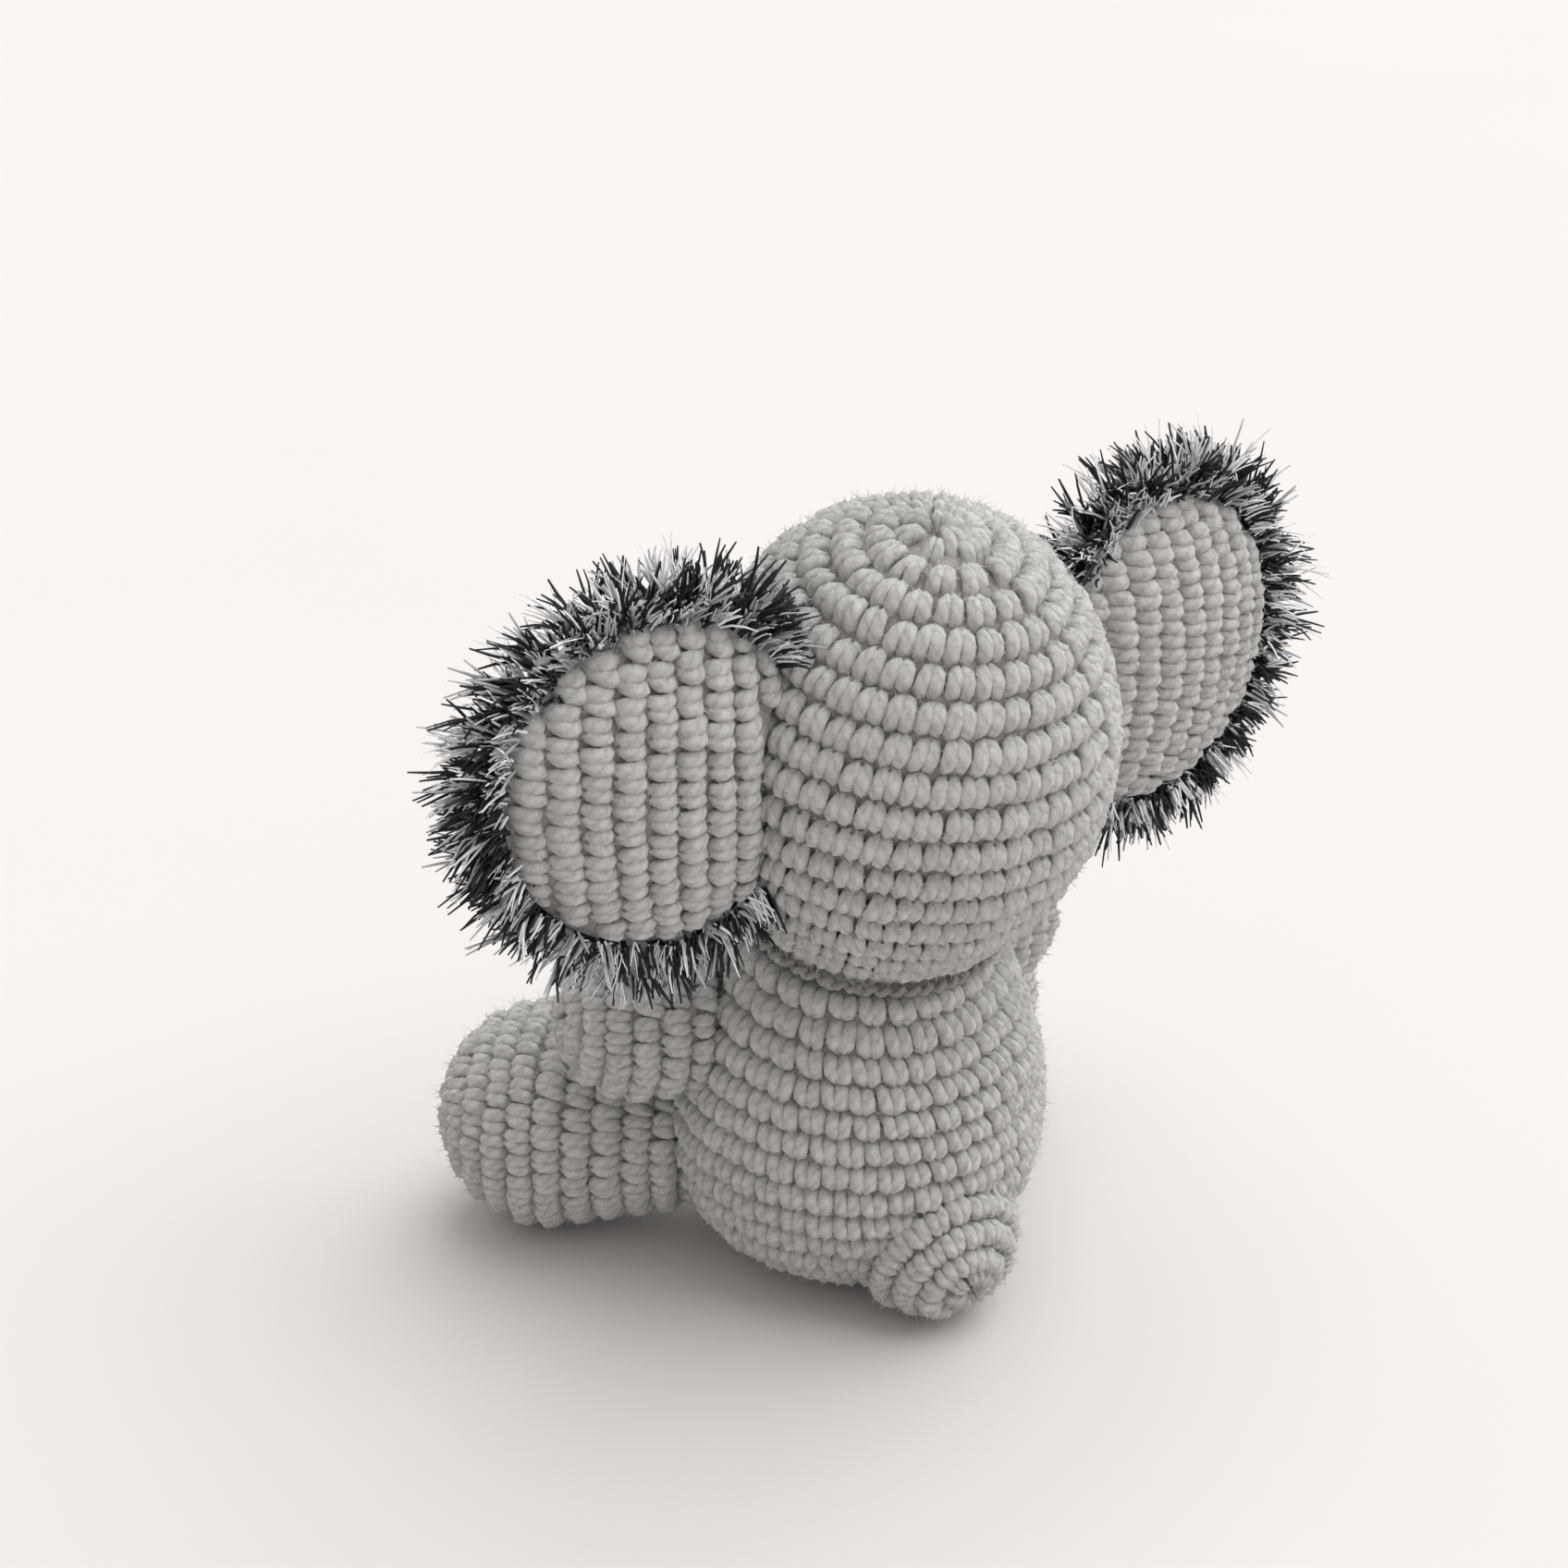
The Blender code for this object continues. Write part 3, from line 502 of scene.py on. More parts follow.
class Ear:
    """One ear as a sheet of (up, out) places, cut where it meets the head."""

    def __init__(self, side):
        self.side = side
        self.label = "left" if side > 0 else "right"
        self.out = np.array([math.cos(EAR_SWEEP) * side, -math.sin(EAR_SWEEP), 0.0])
        self.back = np.array([math.sin(EAR_SWEEP) * side, math.cos(EAR_SWEEP), 0.0])
        self.centre = mirrored(EAR_CENTRE, side)
        self.heights = np.linspace(-EAR_HALF_HEIGHT, EAR_HALF_HEIGHT, 67)
        reach = np.linspace(-EAR_HALF_WIDTH, EAR_HALF_WIDTH, 125)
        grid_h, grid_o = np.meshgrid(self.heights, reach, indexing="ij")
        hidden = inside_head(self.place(grid_h, grid_o, np.zeros_like(grid_h)), 0.0)
        self.roots = np.where(hidden, grid_o, -EAR_HALF_WIDTH).max(axis=1)

    def place(self, up, out, depth):
        return (self.centre + up[..., None] * UP + out[..., None] * self.out
                + depth[..., None] * self.back)

    def edge(self, up):
        return EAR_HALF_WIDTH * np.sqrt(np.clip(1 - (up / EAR_HALF_HEIGHT) ** 2, 0, 1))

    def root(self, up):
        return np.interp(up, self.heights, self.roots)

    def sheet(self, up, out):
        """Depth of the bulging sheet between the two panels, and how near the rim is, 0 to 1."""
        reach = np.clip(np.hypot(up / EAR_HALF_HEIGHT, out / EAR_HALF_WIDTH), 0, 1)
        return EAR_DOME * (1 - reach ** 2) - EAR_SHEET_DEPTH, reach

    def back_face(self, up, out, lift):
        depth, reach = self.sheet(up, out)
        round_off = np.sqrt(np.clip(1 - reach ** EAR_EDGE_SHARPNESS, 0, 1))
        return self.place(up, out, depth + EAR_BACK_THICKNESS * round_off + lift)

    def front_face(self, up, out, lift):
        depth, reach = self.sheet(up, out)
        round_off = np.sqrt(np.clip(1 - reach ** EAR_EDGE_SHARPNESS, 0, 1))
        return self.place(up, out, depth - EAR_FRONT_GAP - EAR_FRONT_THICKNESS * round_off - lift)

    def shell(self, store, inset, front, slot):
        """A thin closed pillow that carries the back or the front panel."""
        up, share = np.meshgrid(np.linspace(-0.995, 0.995, EAR_SHELL_ROWS) * EAR_HALF_HEIGHT,
                                np.linspace(0, 1, EAR_SHELL_COLUMNS), indexing="ij")
        root = np.maximum(self.root(up) - 1.0, 0.4 - self.edge(up))
        root = np.minimum(root, self.edge(up) - 0.5)
        out = root + share * (self.edge(up) - 0.4 - root)
        outer = (self.front_face if front else self.back_face)(up, out, np.full_like(up, -inset))
        depth, _ = self.sheet(up, out)
        inner = self.place(up, out, depth + (-0.5 if front else 0.1))
        faces = grid_faces(EAR_SHELL_ROWS, EAR_SHELL_COLUMNS)
        flip = (self.side > 0) == front
        outer_faces = faces if flip else faces[:, ::-1]
        store.add(outer, outer_faces, np.zeros((up.size, 2)), slot)
        store.add(inner, outer_faces[:, ::-1], np.zeros((up.size, 2)), slot)


def grid_faces(rows, columns):
    i, k = np.meshgrid(np.arange(rows - 1), np.arange(columns - 1), indexing="ij")
    low = i * columns + k
    return np.stack((low, low + 1, low + columns + 1, low + columns), axis=-1).reshape(-1, 4)


EAR_BAND = 6.1
EAR_BOW = 0.35
EAR_LIFT = 0.6
EAR_RIM_GAP = 1.2
EAR_ROOT_OVERLAP = 1.6


def ear_stitches(ear, store):
    """Bands of stitches beside the seam to the head, begun at the outer rim."""
    ups, outs, scales = [], [], []
    bands = int(2 * EAR_HALF_WIDTH / EAR_BAND)
    for band in range(bands):
        out0 = EAR_HALF_WIDTH - EAR_RIM_GAP - (band + 0.5) * EAR_BAND
        inner = abs(abs(out0) - 0.35 * EAR_BAND)
        tall = EAR_HALF_HEIGHT * math.sqrt(max(1 - (inner / EAR_HALF_WIDTH) ** 2, 0.0)) - 0.2
        count = max(2, int(round(2 * tall / STITCH_WIDTH)))
        up = (np.arange(count) + 0.5 + 0.25 * (band % 2) - 0.12) / count * 2 * tall - tall
        bow = EAR_BOW * (EAR_HALF_WIDTH - ear.edge(up)) * (out0 + EAR_HALF_WIDTH) / (2 * EAR_HALF_WIDTH)
        ups.append(up)
        outs.append(out0 - bow)
        scales.append(np.full(count, 2 * tall / count / STITCH_WIDTH))
    up, out, scale = (np.concatenate(v) for v in (ups, outs, scales))
    in_rim = np.hypot(up / EAR_HALF_HEIGHT, out / EAR_HALF_WIDTH) < 1.01
    shown = (out > ear.root(up) - EAR_ROOT_OVERLAP) & in_rim
    up, out, scale = up[shown], out[shown], scale[shown]
    a, b, c = shaped_stitches(scale, EAR_BAND / ROUND_HEIGHT)
    placed = ear.back_face(up[:, None] + a * ear.side, out[:, None] + b, c + EAR_LIFT)
    store_stitches(store, placed, EAR_FUZZ_COUNT)


def rim_points(ear, turns, grow, depth):
    """Points round the ear's rim, and the directions out of the rim there."""
    wide, tall = EAR_HALF_WIDTH + grow, EAR_HALF_HEIGHT + grow
    places = ear.place(tall * np.sin(turns), wide * np.cos(turns), depth)
    spoke = ((np.cos(turns) / EAR_HALF_WIDTH)[:, None] * ear.out
             + (np.sin(turns) / EAR_HALF_HEIGHT)[:, None] * UP)
    return places, spoke / np.linalg.norm(spoke, axis=1)[:, None]


RIM_START = math.radians(-128)
RIM_END = math.radians(158)
EDGING_LOOPS = 34
EDGING_REACH, EDGING_DEPTH = 2.2, -1.2
EDGING_YARN = 1.05
EDGING_STEPS = 14
EDGING_MIX = (0.6, 0.3, 0.1)
# one loop of the edging: along the rim, out of it and toward the back
EDGING_LOOP = (
    (-2.6, -0.6, -1.2), (-1.6, 0.4, 1.0), (0.2, 1.3, 1.5), (2.2, 0.6, 0.9), (2.9, -0.8, -0.6),
    (1.2, -1.5, -1.6), (-1.4, -1.2, -1.7), (-2.6, -0.6, -1.2),
)


def rim_turns(ear, count):
    """Turns round the part of the rim that is free of the head."""
    turns = np.linspace(RIM_START, RIM_END, 400)
    places, _ = rim_points(ear, turns, 1.0, np.zeros(400))
    free = turns[~inside_head(places, 0.5)]
    return np.linspace(free.min(), free.max(), count)


def ear_edging(ear, store):
    """A chain of loops in the eyelash yarn's core, round the rim and a little to the front."""
    for turn in rim_turns(ear, EDGING_LOOPS):
        places, spokes = rim_points(ear, np.array([turn]), EDGING_REACH, np.array([EDGING_DEPTH]))
        spoke = spokes[0]
        run = unit(np.cross(ear.back, spoke))
        wobble = RNG.normal(0, 0.5, 3)
        path = [places[0] + run * along + spoke * (out + wobble[0]) + ear.back * (back + wobble[1])
                for along, out, back in EDGING_LOOP]
        radii = np.full(EDGING_STEPS, EDGING_YARN)
        points, faces, marks = sweep(resample(path, EDGING_STEPS), radii, 6)
        store.add(points, faces, marks, int(RNG.choice(3, p=EDGING_MIX)))


def add_hairs(store, roots, ways, lengths, widths, slots, droop=0.16):
    """Thin curved hairs with cut ends, each a three-sided tube."""
    n = len(roots)
    bend = RNG.normal(0, 1, (n, 3))
    bend -= np.sum(bend * ways, axis=1)[:, None] * ways
    t = np.array([0.0, 0.35, 0.7, 1.0])
    side = np.cross(ways, bend)
    side /= np.linalg.norm(side, axis=1)[:, None]
    other = np.cross(ways, side)
    curve = (roots[:, None] + ways[:, None] * (lengths[:, None] * t)[..., None]
             + bend[:, None] * (0.11 * lengths[:, None] * t ** 2)[..., None]
             - UP * (droop * lengths[:, None] * t ** 2)[..., None])
    turn = 2 * math.pi * np.arange(3) / 3
    ring = (np.cos(turn)[None, :, None] * side[:, None] + np.sin(turn)[None, :, None] * other[:, None])
    taper = np.array([1.0, 1.0, 0.9, 0.55])
    points = curve[:, :, None] + ring[:, None] * (widths[:, None] * taper)[..., None, None]
    faces = tube_faces(4, 3)
    cap = np.array([[9, 10, 11]])
    for slot in np.unique(slots):
        mine = slots == slot
        count = int(mine.sum())
        offsets = (np.arange(count) * 12)[:, None, None]
        marks = np.zeros((count * 12, 2))
        marks[:, 0] = np.tile(np.repeat(t, 3), count)
        chosen = points[mine].reshape(-1, 3)
        store.add(chosen, (faces[None] + offsets).reshape(-1, 4), marks, int(slot))
        store.add(chosen, (cap[None] + offsets).reshape(-1, 3), marks, int(slot))


# shares and radii of the black, grey, white and silver hairs, in the order of LASHES
LASH_MIX = (0.45, 0.20, 0.28, 0.07)
FRONT_MIX = (0.34, 0.28, 0.30, 0.08)
LASH_RADII = (0.36, 0.34, 0.27, 0.17)
STRAY_SHARE = 0.12        # hairs that take another colour than their tuft
TUFT_HAIRS = 5
FRONT_TUFTS = 640


def tufted(roots, ways, spread, longest, shortest, mix=LASH_MIX):
    """Turns each root and way into a tuft of hairs of one colour, fanned about the way."""
    n = len(roots)
    hairs = n * TUFT_HAIRS
    colours = RNG.choice(4, n, p=mix)
    lengths = RNG.uniform(shortest, longest, n)
    roots = np.repeat(roots, TUFT_HAIRS, axis=0) + RNG.normal(0, 0.6, (hairs, 3))
    ways = np.repeat(ways, TUFT_HAIRS, axis=0) + RNG.normal(0, spread, (hairs, 3))
    ways /= np.linalg.norm(ways, axis=1)[:, None]
    lengths = np.repeat(lengths, TUFT_HAIRS) * RNG.uniform(0.7, 1.08, hairs)
    colours = np.repeat(colours, TUFT_HAIRS)
    stray = RNG.random(hairs) < STRAY_SHARE
    colours = np.where(stray, RNG.choice(4, hairs, p=mix), colours)
    widths = np.choose(colours, LASH_RADII) * RNG.uniform(0.75, 1.2, hairs)
    return roots, ways, lengths, widths, colours


# each row of tufts: reach past the rim, depth, lean toward the back, longest hair
LASH_ROWS = (
    (0.4, 1.4, 0.5, 7.5), (1.8, 0.2, 0.2, 12.5), (2.8, -1.8, -0.15, 15.0), (2.8, -3.8, -0.75, 13.0),
)
LASH_TUFTS = 135
HANGING_SHARE = 0.78      # of the length, for hairs that hang down


def rim_lashes(ear, store):
    """The fluffy edge: tufts that stand out of the edging."""
    turns = rim_turns(ear, LASH_TUFTS) + RNG.normal(0, 0.016, LASH_TUFTS)
    for grow, depth, lean, longest in LASH_ROWS:
        places, spokes = rim_points(ear, turns, grow, np.full(len(turns), depth))
        run = np.cross(spokes, ear.back)
        ways = spokes + ear.back * lean + run * RNG.normal(0, 0.45, len(turns))[:, None]
        ways += ear.back * RNG.normal(0, 0.3, len(turns))[:, None]
        ways /= np.linalg.norm(ways, axis=1)[:, None]
        root, way, length, width, colour = tufted(places, ways, 0.13, longest, 5.0)
        length *= np.where(way[:, 2] < -0.35, HANGING_SHARE, 1.0)
        add_hairs(store, root, way, length, width, colour)


def front_lashes(ear, store):
    """The inner ear is worked in the same eyelash yarn, so hairs cover it all."""
    up = RNG.uniform(-1, 1, FRONT_TUFTS * 2) * EAR_HALF_HEIGHT
    out = RNG.uniform(-1, 1, FRONT_TUFTS * 2) * EAR_HALF_WIDTH
    fits = (np.hypot(up / EAR_HALF_HEIGHT, out / EAR_HALF_WIDTH) < 0.97) & (out > ear.root(up) + 1.0)
    up, out = up[fits][:FRONT_TUFTS], out[fits][:FRONT_TUFTS]
    places = ear.front_face(up, out, np.full_like(up, -0.8))
    ways = (-ear.back + 0.55 * (up / EAR_HALF_HEIGHT)[:, None] * UP
            + 0.55 * (out / EAR_HALF_WIDTH)[:, None] * ear.out)
    ways = ways + RNG.normal(0, 0.45, ways.shape)
    ways /= np.linalg.norm(ways, axis=1)[:, None]
    add_hairs(store, *tufted(places, ways, 0.24, 8.0, 3.5, FRONT_MIX))


# ---------------------------------------------------------------- materials

def nodes_of(name):
    material = bpy.data.materials.new(name)
    material.use_nodes = True
    tree = material.node_tree
    return material, tree.nodes, tree.links, tree.nodes["Principled BSDF"]


def math_node(nodes, links, kind, first, second=None):
    node = nodes.new("ShaderNodeMath")
    node.operation = kind
    for socket, value in zip(node.inputs, (first, second)):
        if value is None:
            continue
        if isinstance(value, (int, float)):
            socket.default_value = value
        else:
            links.new(value, socket)
    return node.outputs[0]


def noise_node(nodes, links, vector, scale, detail=3.0, roughness=0.55):
    node = nodes.new("ShaderNodeTexNoise")
    node.inputs["Scale"].default_value = scale
    node.inputs["Detail"].default_value = detail
    node.inputs["Roughness"].default_value = roughness
    links.new(vector, node.inputs["Vector"])
    return node.outputs["Fac"]


def ramp_node(nodes, links, value, stops):
    node = nodes.new("ShaderNodeValToRGB")
    while len(node.color_ramp.elements) < len(stops):
        node.color_ramp.elements.new(0.5)
    for element, (position, colour) in zip(node.color_ramp.elements, stops):
        element.position = position
        element.color = (*colour, 1.0)
    links.new(value, node.inputs["Fac"])
    return node.outputs["Color"]


PLIES = 3
PLY_TWIST = 0.42          # turns of a ply per millimetre of yarn


def yarn_place(nodes, links):
    """The place along the yarn and round it, which every mesh carries as its UV map."""
    uv = nodes.new("ShaderNodeUVMap")
    uv.uv_map = "yarn"
    parts = nodes.new("ShaderNodeSeparateXYZ")
    links.new(uv.outputs["UV"], parts.inputs["Vector"])
    return parts.outputs["X"], parts.outputs["Y"]


def ply_fields(nodes, links):
    """Waves of the slanting plies, and the fine fibres that run along them."""
    length, share = yarn_place(nodes, links)
    along = math_node(nodes, links, "MULTIPLY", length, PLY_TWIST * 2 * math.pi)
    around = math_node(nodes, links, "MULTIPLY", share, PLIES * 2 * math.pi)
    phase = math_node(nodes, links, "ADD", along, around)
    half = math_node(nodes, links, "MULTIPLY", phase, 0.5)
    wave = math_node(nodes, links, "ABSOLUTE", math_node(nodes, links, "SINE", half))
    strand = nodes.new("ShaderNodeCombineXYZ")
    links.new(math_node(nodes, links, "MULTIPLY", length, 0.5), strand.inputs["X"])
    links.new(math_node(nodes, links, "MULTIPLY", phase, 1.1), strand.inputs["Y"])
    return wave, noise_node(nodes, links, strand.outputs["Vector"], 2.6, 5.0, 0.72)


def yarn_material(name, dark, light):
    """Plied yarn: slanting plies along each loop, fine fibres over them, faint colour drift, and painted
    shade in the grooves between the plies.
    """
    material, nodes, links, shader = nodes_of(name)
    wave, fibre = ply_fields(nodes, links)
    place = nodes.new("ShaderNodeTexCoord").outputs["Object"]
    wool = noise_node(nodes, links, place, 1500.0, 4.0, 0.7)
    drift = noise_node(nodes, links, place, 60.0, 2.0)
    mottle = noise_node(nodes, links, place, 420.0, 3.0)
    # the ply wave also sets part of the colour, darker in the grooves between plies: painted shade
    mix = math_node(nodes, links, "MULTIPLY", wave, 0.10)
    for part, share in ((fibre, 0.46), (wool, 0.32), (drift, 0.10), (mottle, 0.20)):
        mix = math_node(nodes, links, "ADD", mix, math_node(nodes, links, "MULTIPLY", part, share))
    colour = ramp_node(nodes, links, mix, ((0.45, dark), (0.66, light)))
    links.new(colour, shader.inputs["Base Color"])
    height = math_node(nodes, links, "MULTIPLY", wave, 0.45)
    for part, share in ((fibre, 0.9), (wool, 0.8)):
        height = math_node(nodes, links, "ADD", height, math_node(nodes, links, "MULTIPLY", part, share))
    relief = nodes.new("ShaderNodeBump")
    relief.inputs["Strength"].default_value = 0.9
    relief.inputs["Distance"].default_value = 0.0011
    links.new(height, relief.inputs["Height"])
    links.new(relief.outputs["Normal"], shader.inputs["Normal"])
    shader.inputs["Roughness"].default_value = 0.93
    shader.inputs["Specular IOR Level"].default_value = 0.18
    shader.inputs["Sheen Weight"].default_value = 0.45
    shader.inputs["Sheen Roughness"].default_value = 0.45
    return material


def cloth_material(name, colour):
    """Plain cloth or fibre with fine flecks."""
    material, nodes, links, shader = nodes_of(name)
    place = nodes.new("ShaderNodeTexCoord").outputs["Object"]
    fleck = noise_node(nodes, links, place, 900.0, 4.0, 0.7)
    low = tuple(0.55 * c for c in colour)
    links.new(ramp_node(nodes, links, fleck, ((0.3, low), (0.7, colour))), shader.inputs["Base Color"])
    relief = nodes.new("ShaderNodeBump")
    relief.inputs["Strength"].default_value = 0.6
    relief.inputs["Distance"].default_value = 0.0005
    links.new(fleck, relief.inputs["Height"])
    links.new(relief.outputs["Normal"], shader.inputs["Normal"])
    shader.inputs["Roughness"].default_value = 0.95
    shader.inputs["Specular IOR Level"].default_value = 0.1
    return material


def hair_material(name, dark, light, roughness, metallic=0.0, sheen=0.0):
    """Synthetic hair: darker at the root, a little colour change from hair to hair."""
    material, nodes, links, shader = nodes_of(name)
    length, _ = yarn_place(nodes, links)
    place = nodes.new("ShaderNodeTexCoord").outputs["Object"]
    drift = noise_node(nodes, links, place, 350.0, 2.0)
    mix = math_node(nodes, links, "ADD", math_node(nodes, links, "MULTIPLY", length, 0.35),
                    math_node(nodes, links, "MULTIPLY", drift, 0.75))
    links.new(ramp_node(nodes, links, mix, ((0.25, dark), (0.8, light))), shader.inputs["Base Color"])
    shader.inputs["Roughness"].default_value = roughness
    shader.inputs["Metallic"].default_value = metallic
    shader.inputs["Specular IOR Level"].default_value = 0.3
    shader.inputs["Sheen Weight"].default_value = sheen
    return material


def plastic_material(name, colour, roughness):
    """Moulded plastic: faint waviness and dust in the gloss."""
    material, nodes, links, shader = nodes_of(name)
    place = nodes.new("ShaderNodeTexCoord").outputs["Object"]
    haze = noise_node(nodes, links, place, 240.0, 3.0)
    rough = nodes.new("ShaderNodeMapRange")
    rough.inputs["To Min"].default_value = roughness * 0.7
    rough.inputs["To Max"].default_value = roughness * 1.5
    links.new(haze, rough.inputs["Value"])
    links.new(rough.outputs["Result"], shader.inputs["Roughness"])
    tint = tuple(min(1.0, c * 1.6 + 0.004) for c in colour)
    links.new(ramp_node(nodes, links, haze, ((0.3, colour), (0.8, tint))), shader.inputs["Base Color"])
    shader.inputs["Coat Weight"].default_value = 0.35
    shader.inputs["Coat Roughness"].default_value = 0.05
    return material


GREY_YARN = yarn_material("grey_yarn_look", (0.56, 0.55, 0.535), (0.94, 0.935, 0.915))
# the neck seam's yarn, half as bright as the toy's yarn: painted shade in the crease between head and body
SEAM_YARN_PAINTED_SHADE = yarn_material("seam_yarn_painted_shade", (0.27, 0.26, 0.25), (0.56, 0.55, 0.53))
# the cloth under the loops: partly the back of the fabric, partly painted shade, darker than the yarn so
# that the gaps between loops read as shadow
LINER_WITH_PAINTED_SHADE = cloth_material("cloth_between_loops_painted_shade", (0.40, 0.385, 0.37))
LASHES = (
    hair_material("lash_black", (0.003, 0.003, 0.004), (0.016, 0.016, 0.020), 0.5),
    hair_material("lash_grey", (0.24, 0.245, 0.265), (0.52, 0.525, 0.55), 0.6, sheen=0.2),
    hair_material("lash_white", (0.70, 0.70, 0.72), (0.95, 0.95, 0.96), 0.5, sheen=0.2),
    hair_material("lash_silver", (0.62, 0.63, 0.66), (0.95, 0.96, 0.99), 0.22, metallic=0.85),
)
DARK_CLOTH = cloth_material("lash_core_cloth", (0.10, 0.10, 0.106))
FILLING = cloth_material("fibre_filling", (0.80, 0.79, 0.76))
EYE_BLACK = plastic_material("eye_black", (0.006, 0.006, 0.006), 0.10)
WASHER_WHITE = plastic_material("washer_white", (0.70, 0.70, 0.68), 0.42)


# ---------------------------------------------------------------- the pieces

def settle(thing, body, nodes=()):
    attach(thing, body)
    if nodes:
        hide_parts(*nodes)
    return thing


def make_head():
    _, trunk_root = trunk_skin()
    skin = egg_skin()
    store = Store()
    eyes = [eye_seat(side) for side in (1, -1)]

    def shown(points):
        free = far_from(trunk_root, TRUNK_BALL - 1.0)(points)
        for eye in eyes:
            free &= far_from(eye, EYE_CLEARANCE)(points)
        return free

    add_rounds(store, skin, shown)
    add_liner(store, skin, drop=near(trunk_root, TRUNK_BALL - 1.5))
    settle(store.build("head_crochet", [GREY_YARN, LINER_WITH_PAINTED_SHADE]), "head", ("head_shell",))


def eye_seat(side):
    radius = HEAD_RADIUS * math.sqrt(1 - (EYE_HEIGHT / HEAD_HALF_HEIGHT) ** 2)
    back = -math.sqrt(radius ** 2 - EYE_SIDE ** 2)
    return HEAD_CENTRE + X * EYE_SIDE * side + HEAD_BACK * back + HEAD_UP * EYE_HEIGHT


def make_body():
    skin = body_skin()
    store = Store()
    bowls = [near(NECK_JOINT, NECK_BALL - 0.5)]
    for side in (1, -1):
        bowls.append(near(mirrored(ARM["joint"], side), ARM["ball"] - BOWL_MARGIN))
        bowls.append(near(mirrored(LEG["joint"], side), LEG["ball"] - BOWL_MARGIN))
    bowls.append(near(TAIL_CENTRE, TAIL_RADIUS - TAIL_MARGIN))

    def covered(points):
        return np.any([bowl(points) for bowl in bowls], axis=0)

    add_rounds(store, skin, lambda p: ~covered(p), pitch=BODY_PITCH, end=1.0, width=BODY_STITCH)
    add_liner(store, skin, drop=covered)
    settle(store.build("body_crochet", [GREY_YARN, LINER_WITH_PAINTED_SHADE]), "body", ("body_shell",))


def make_limb(name, side, size, body, replaced):
    joint, tip = mirrored(size["joint"], side), mirrored(size["tip"], side)
    skin = limb_skin(joint, tip, size["ball"], size["tip_radius"])
    store = Store()
    add_rounds(store, skin, lambda p: ~inside_body(p, SEWN_MARGIN), pitch=LIMB_PITCH)
    add_liner(store, skin, sides=48, rows=44)
    settle(store.build(name, [GREY_YARN, LINER_WITH_PAINTED_SHADE]), body, (replaced,))


def make_tail():
    away = unit(TAIL_LOOK)
    skin = limb_skin(TAIL_CENTRE - away * 4.0, TAIL_CENTRE, TAIL_RADIUS, TAIL_RADIUS, stop=0.6)
    store = Store()
    add_rounds(store, skin, lambda p: ~inside_body(p, SEWN_MARGIN), pitch=TAIL_PITCH, width=TAIL_STITCH)
    add_liner(store, skin, sides=48, rows=40)
    settle(store.build("tail_crochet", [GREY_YARN, LINER_WITH_PAINTED_SHADE]), "body", ("tail_shell",))


def make_trunk():
    skin, _ = trunk_skin()
    store = Store()
    add_rounds(store, skin, lambda p: ~inside_head(p, -TRUNK_MARGIN),
               pitch=TRUNK_PITCH, width=TRUNK_STITCH)
    add_liner(store, skin, sides=36, rows=44)
    settle(store.build("trunk_crochet", [GREY_YARN, LINER_WITH_PAINTED_SHADE]), "trunk", ("trunk_shell",))


def make_ear(side):
    ear = Ear(side)
    body = ear.label + "_ear"
    store = Store()
    ear_stitches(ear, store)
    # the back pillow takes the liner material, painted darker than the yarn as shade under the stitches
    ear.shell(store, LINER_INSET - EAR_LIFT, False, 1)
    back = store.build(ear.label + "_ear_back_crochet", [GREY_YARN, LINER_WITH_PAINTED_SHADE])
    settle(back, body, (ear.label + "_ear_back",))
    store = Store()
    front_lashes(ear, store)
    ear.shell(store, 0.6, True, 4)
    front = store.build(ear.label + "_ear_front_fluff", [*LASHES, DARK_CLOTH])
    settle(front, body, (ear.label + "_ear_front",))
    store = Store()
    ear_edging(ear, store)
    rim_lashes(ear, store)
    edging = store.build(ear.label + "_ear_fringe", list(LASHES))
    settle(edging, body, (ear.label + "_ear_edging",))


SEAM_WRAPS = 58
SEAM_COIL = 0.55
SEAM_THREAD = 0.8
SEAM_GAP = 0.4


def make_neck_seam():
    """The sewing yarn that holds the head on, wrapped over and over round the neck, coloured darker than the
    toy's yarn as painted shade in the crease between head and body.
    """
    reach = NECK_BALL + SEAM_GAP + SEAM_YARN
    radius = reach * math.sin(SEAM_ANGLE)
    centre = NECK_JOINT - HEAD_UP * reach * math.cos(SEAM_ANGLE)
    turn = np.linspace(0, 2 * math.pi, SEAM_WRAPS * 8 + 1)
    out = np.cos(turn)[:, None] * X + np.sin(turn)[:, None] * HEAD_BACK
    wrap = SEAM_WRAPS * turn
    path = (centre + (radius + SEAM_COIL * np.cos(wrap))[:, None] * out
            + SEAM_COIL * np.sin(wrap)[:, None] * HEAD_UP)
    points, faces, marks = sweep(path, np.full(len(turn), SEAM_THREAD), 6)
    store = Store()
    store.add(points, faces, marks)
    settle(store.build("neck_seam_yarn", [SEAM_YARN_PAINTED_SHADE]), "neck_seam", ("neck_seam",))


def eye_look(side):
    """Which way an eye faces: square to the head's skin."""
    local = eye_seat(side) - HEAD_CENTRE
    slope = (X * local[0] + HEAD_BACK * (local @ HEAD_BACK)) / HEAD_RADIUS ** 2
    return unit(slope + HEAD_UP * (local @ HEAD_UP) / HEAD_HALF_HEIGHT ** 2)


EYE_EDGE = 0.4            # height and width of the rolled edge


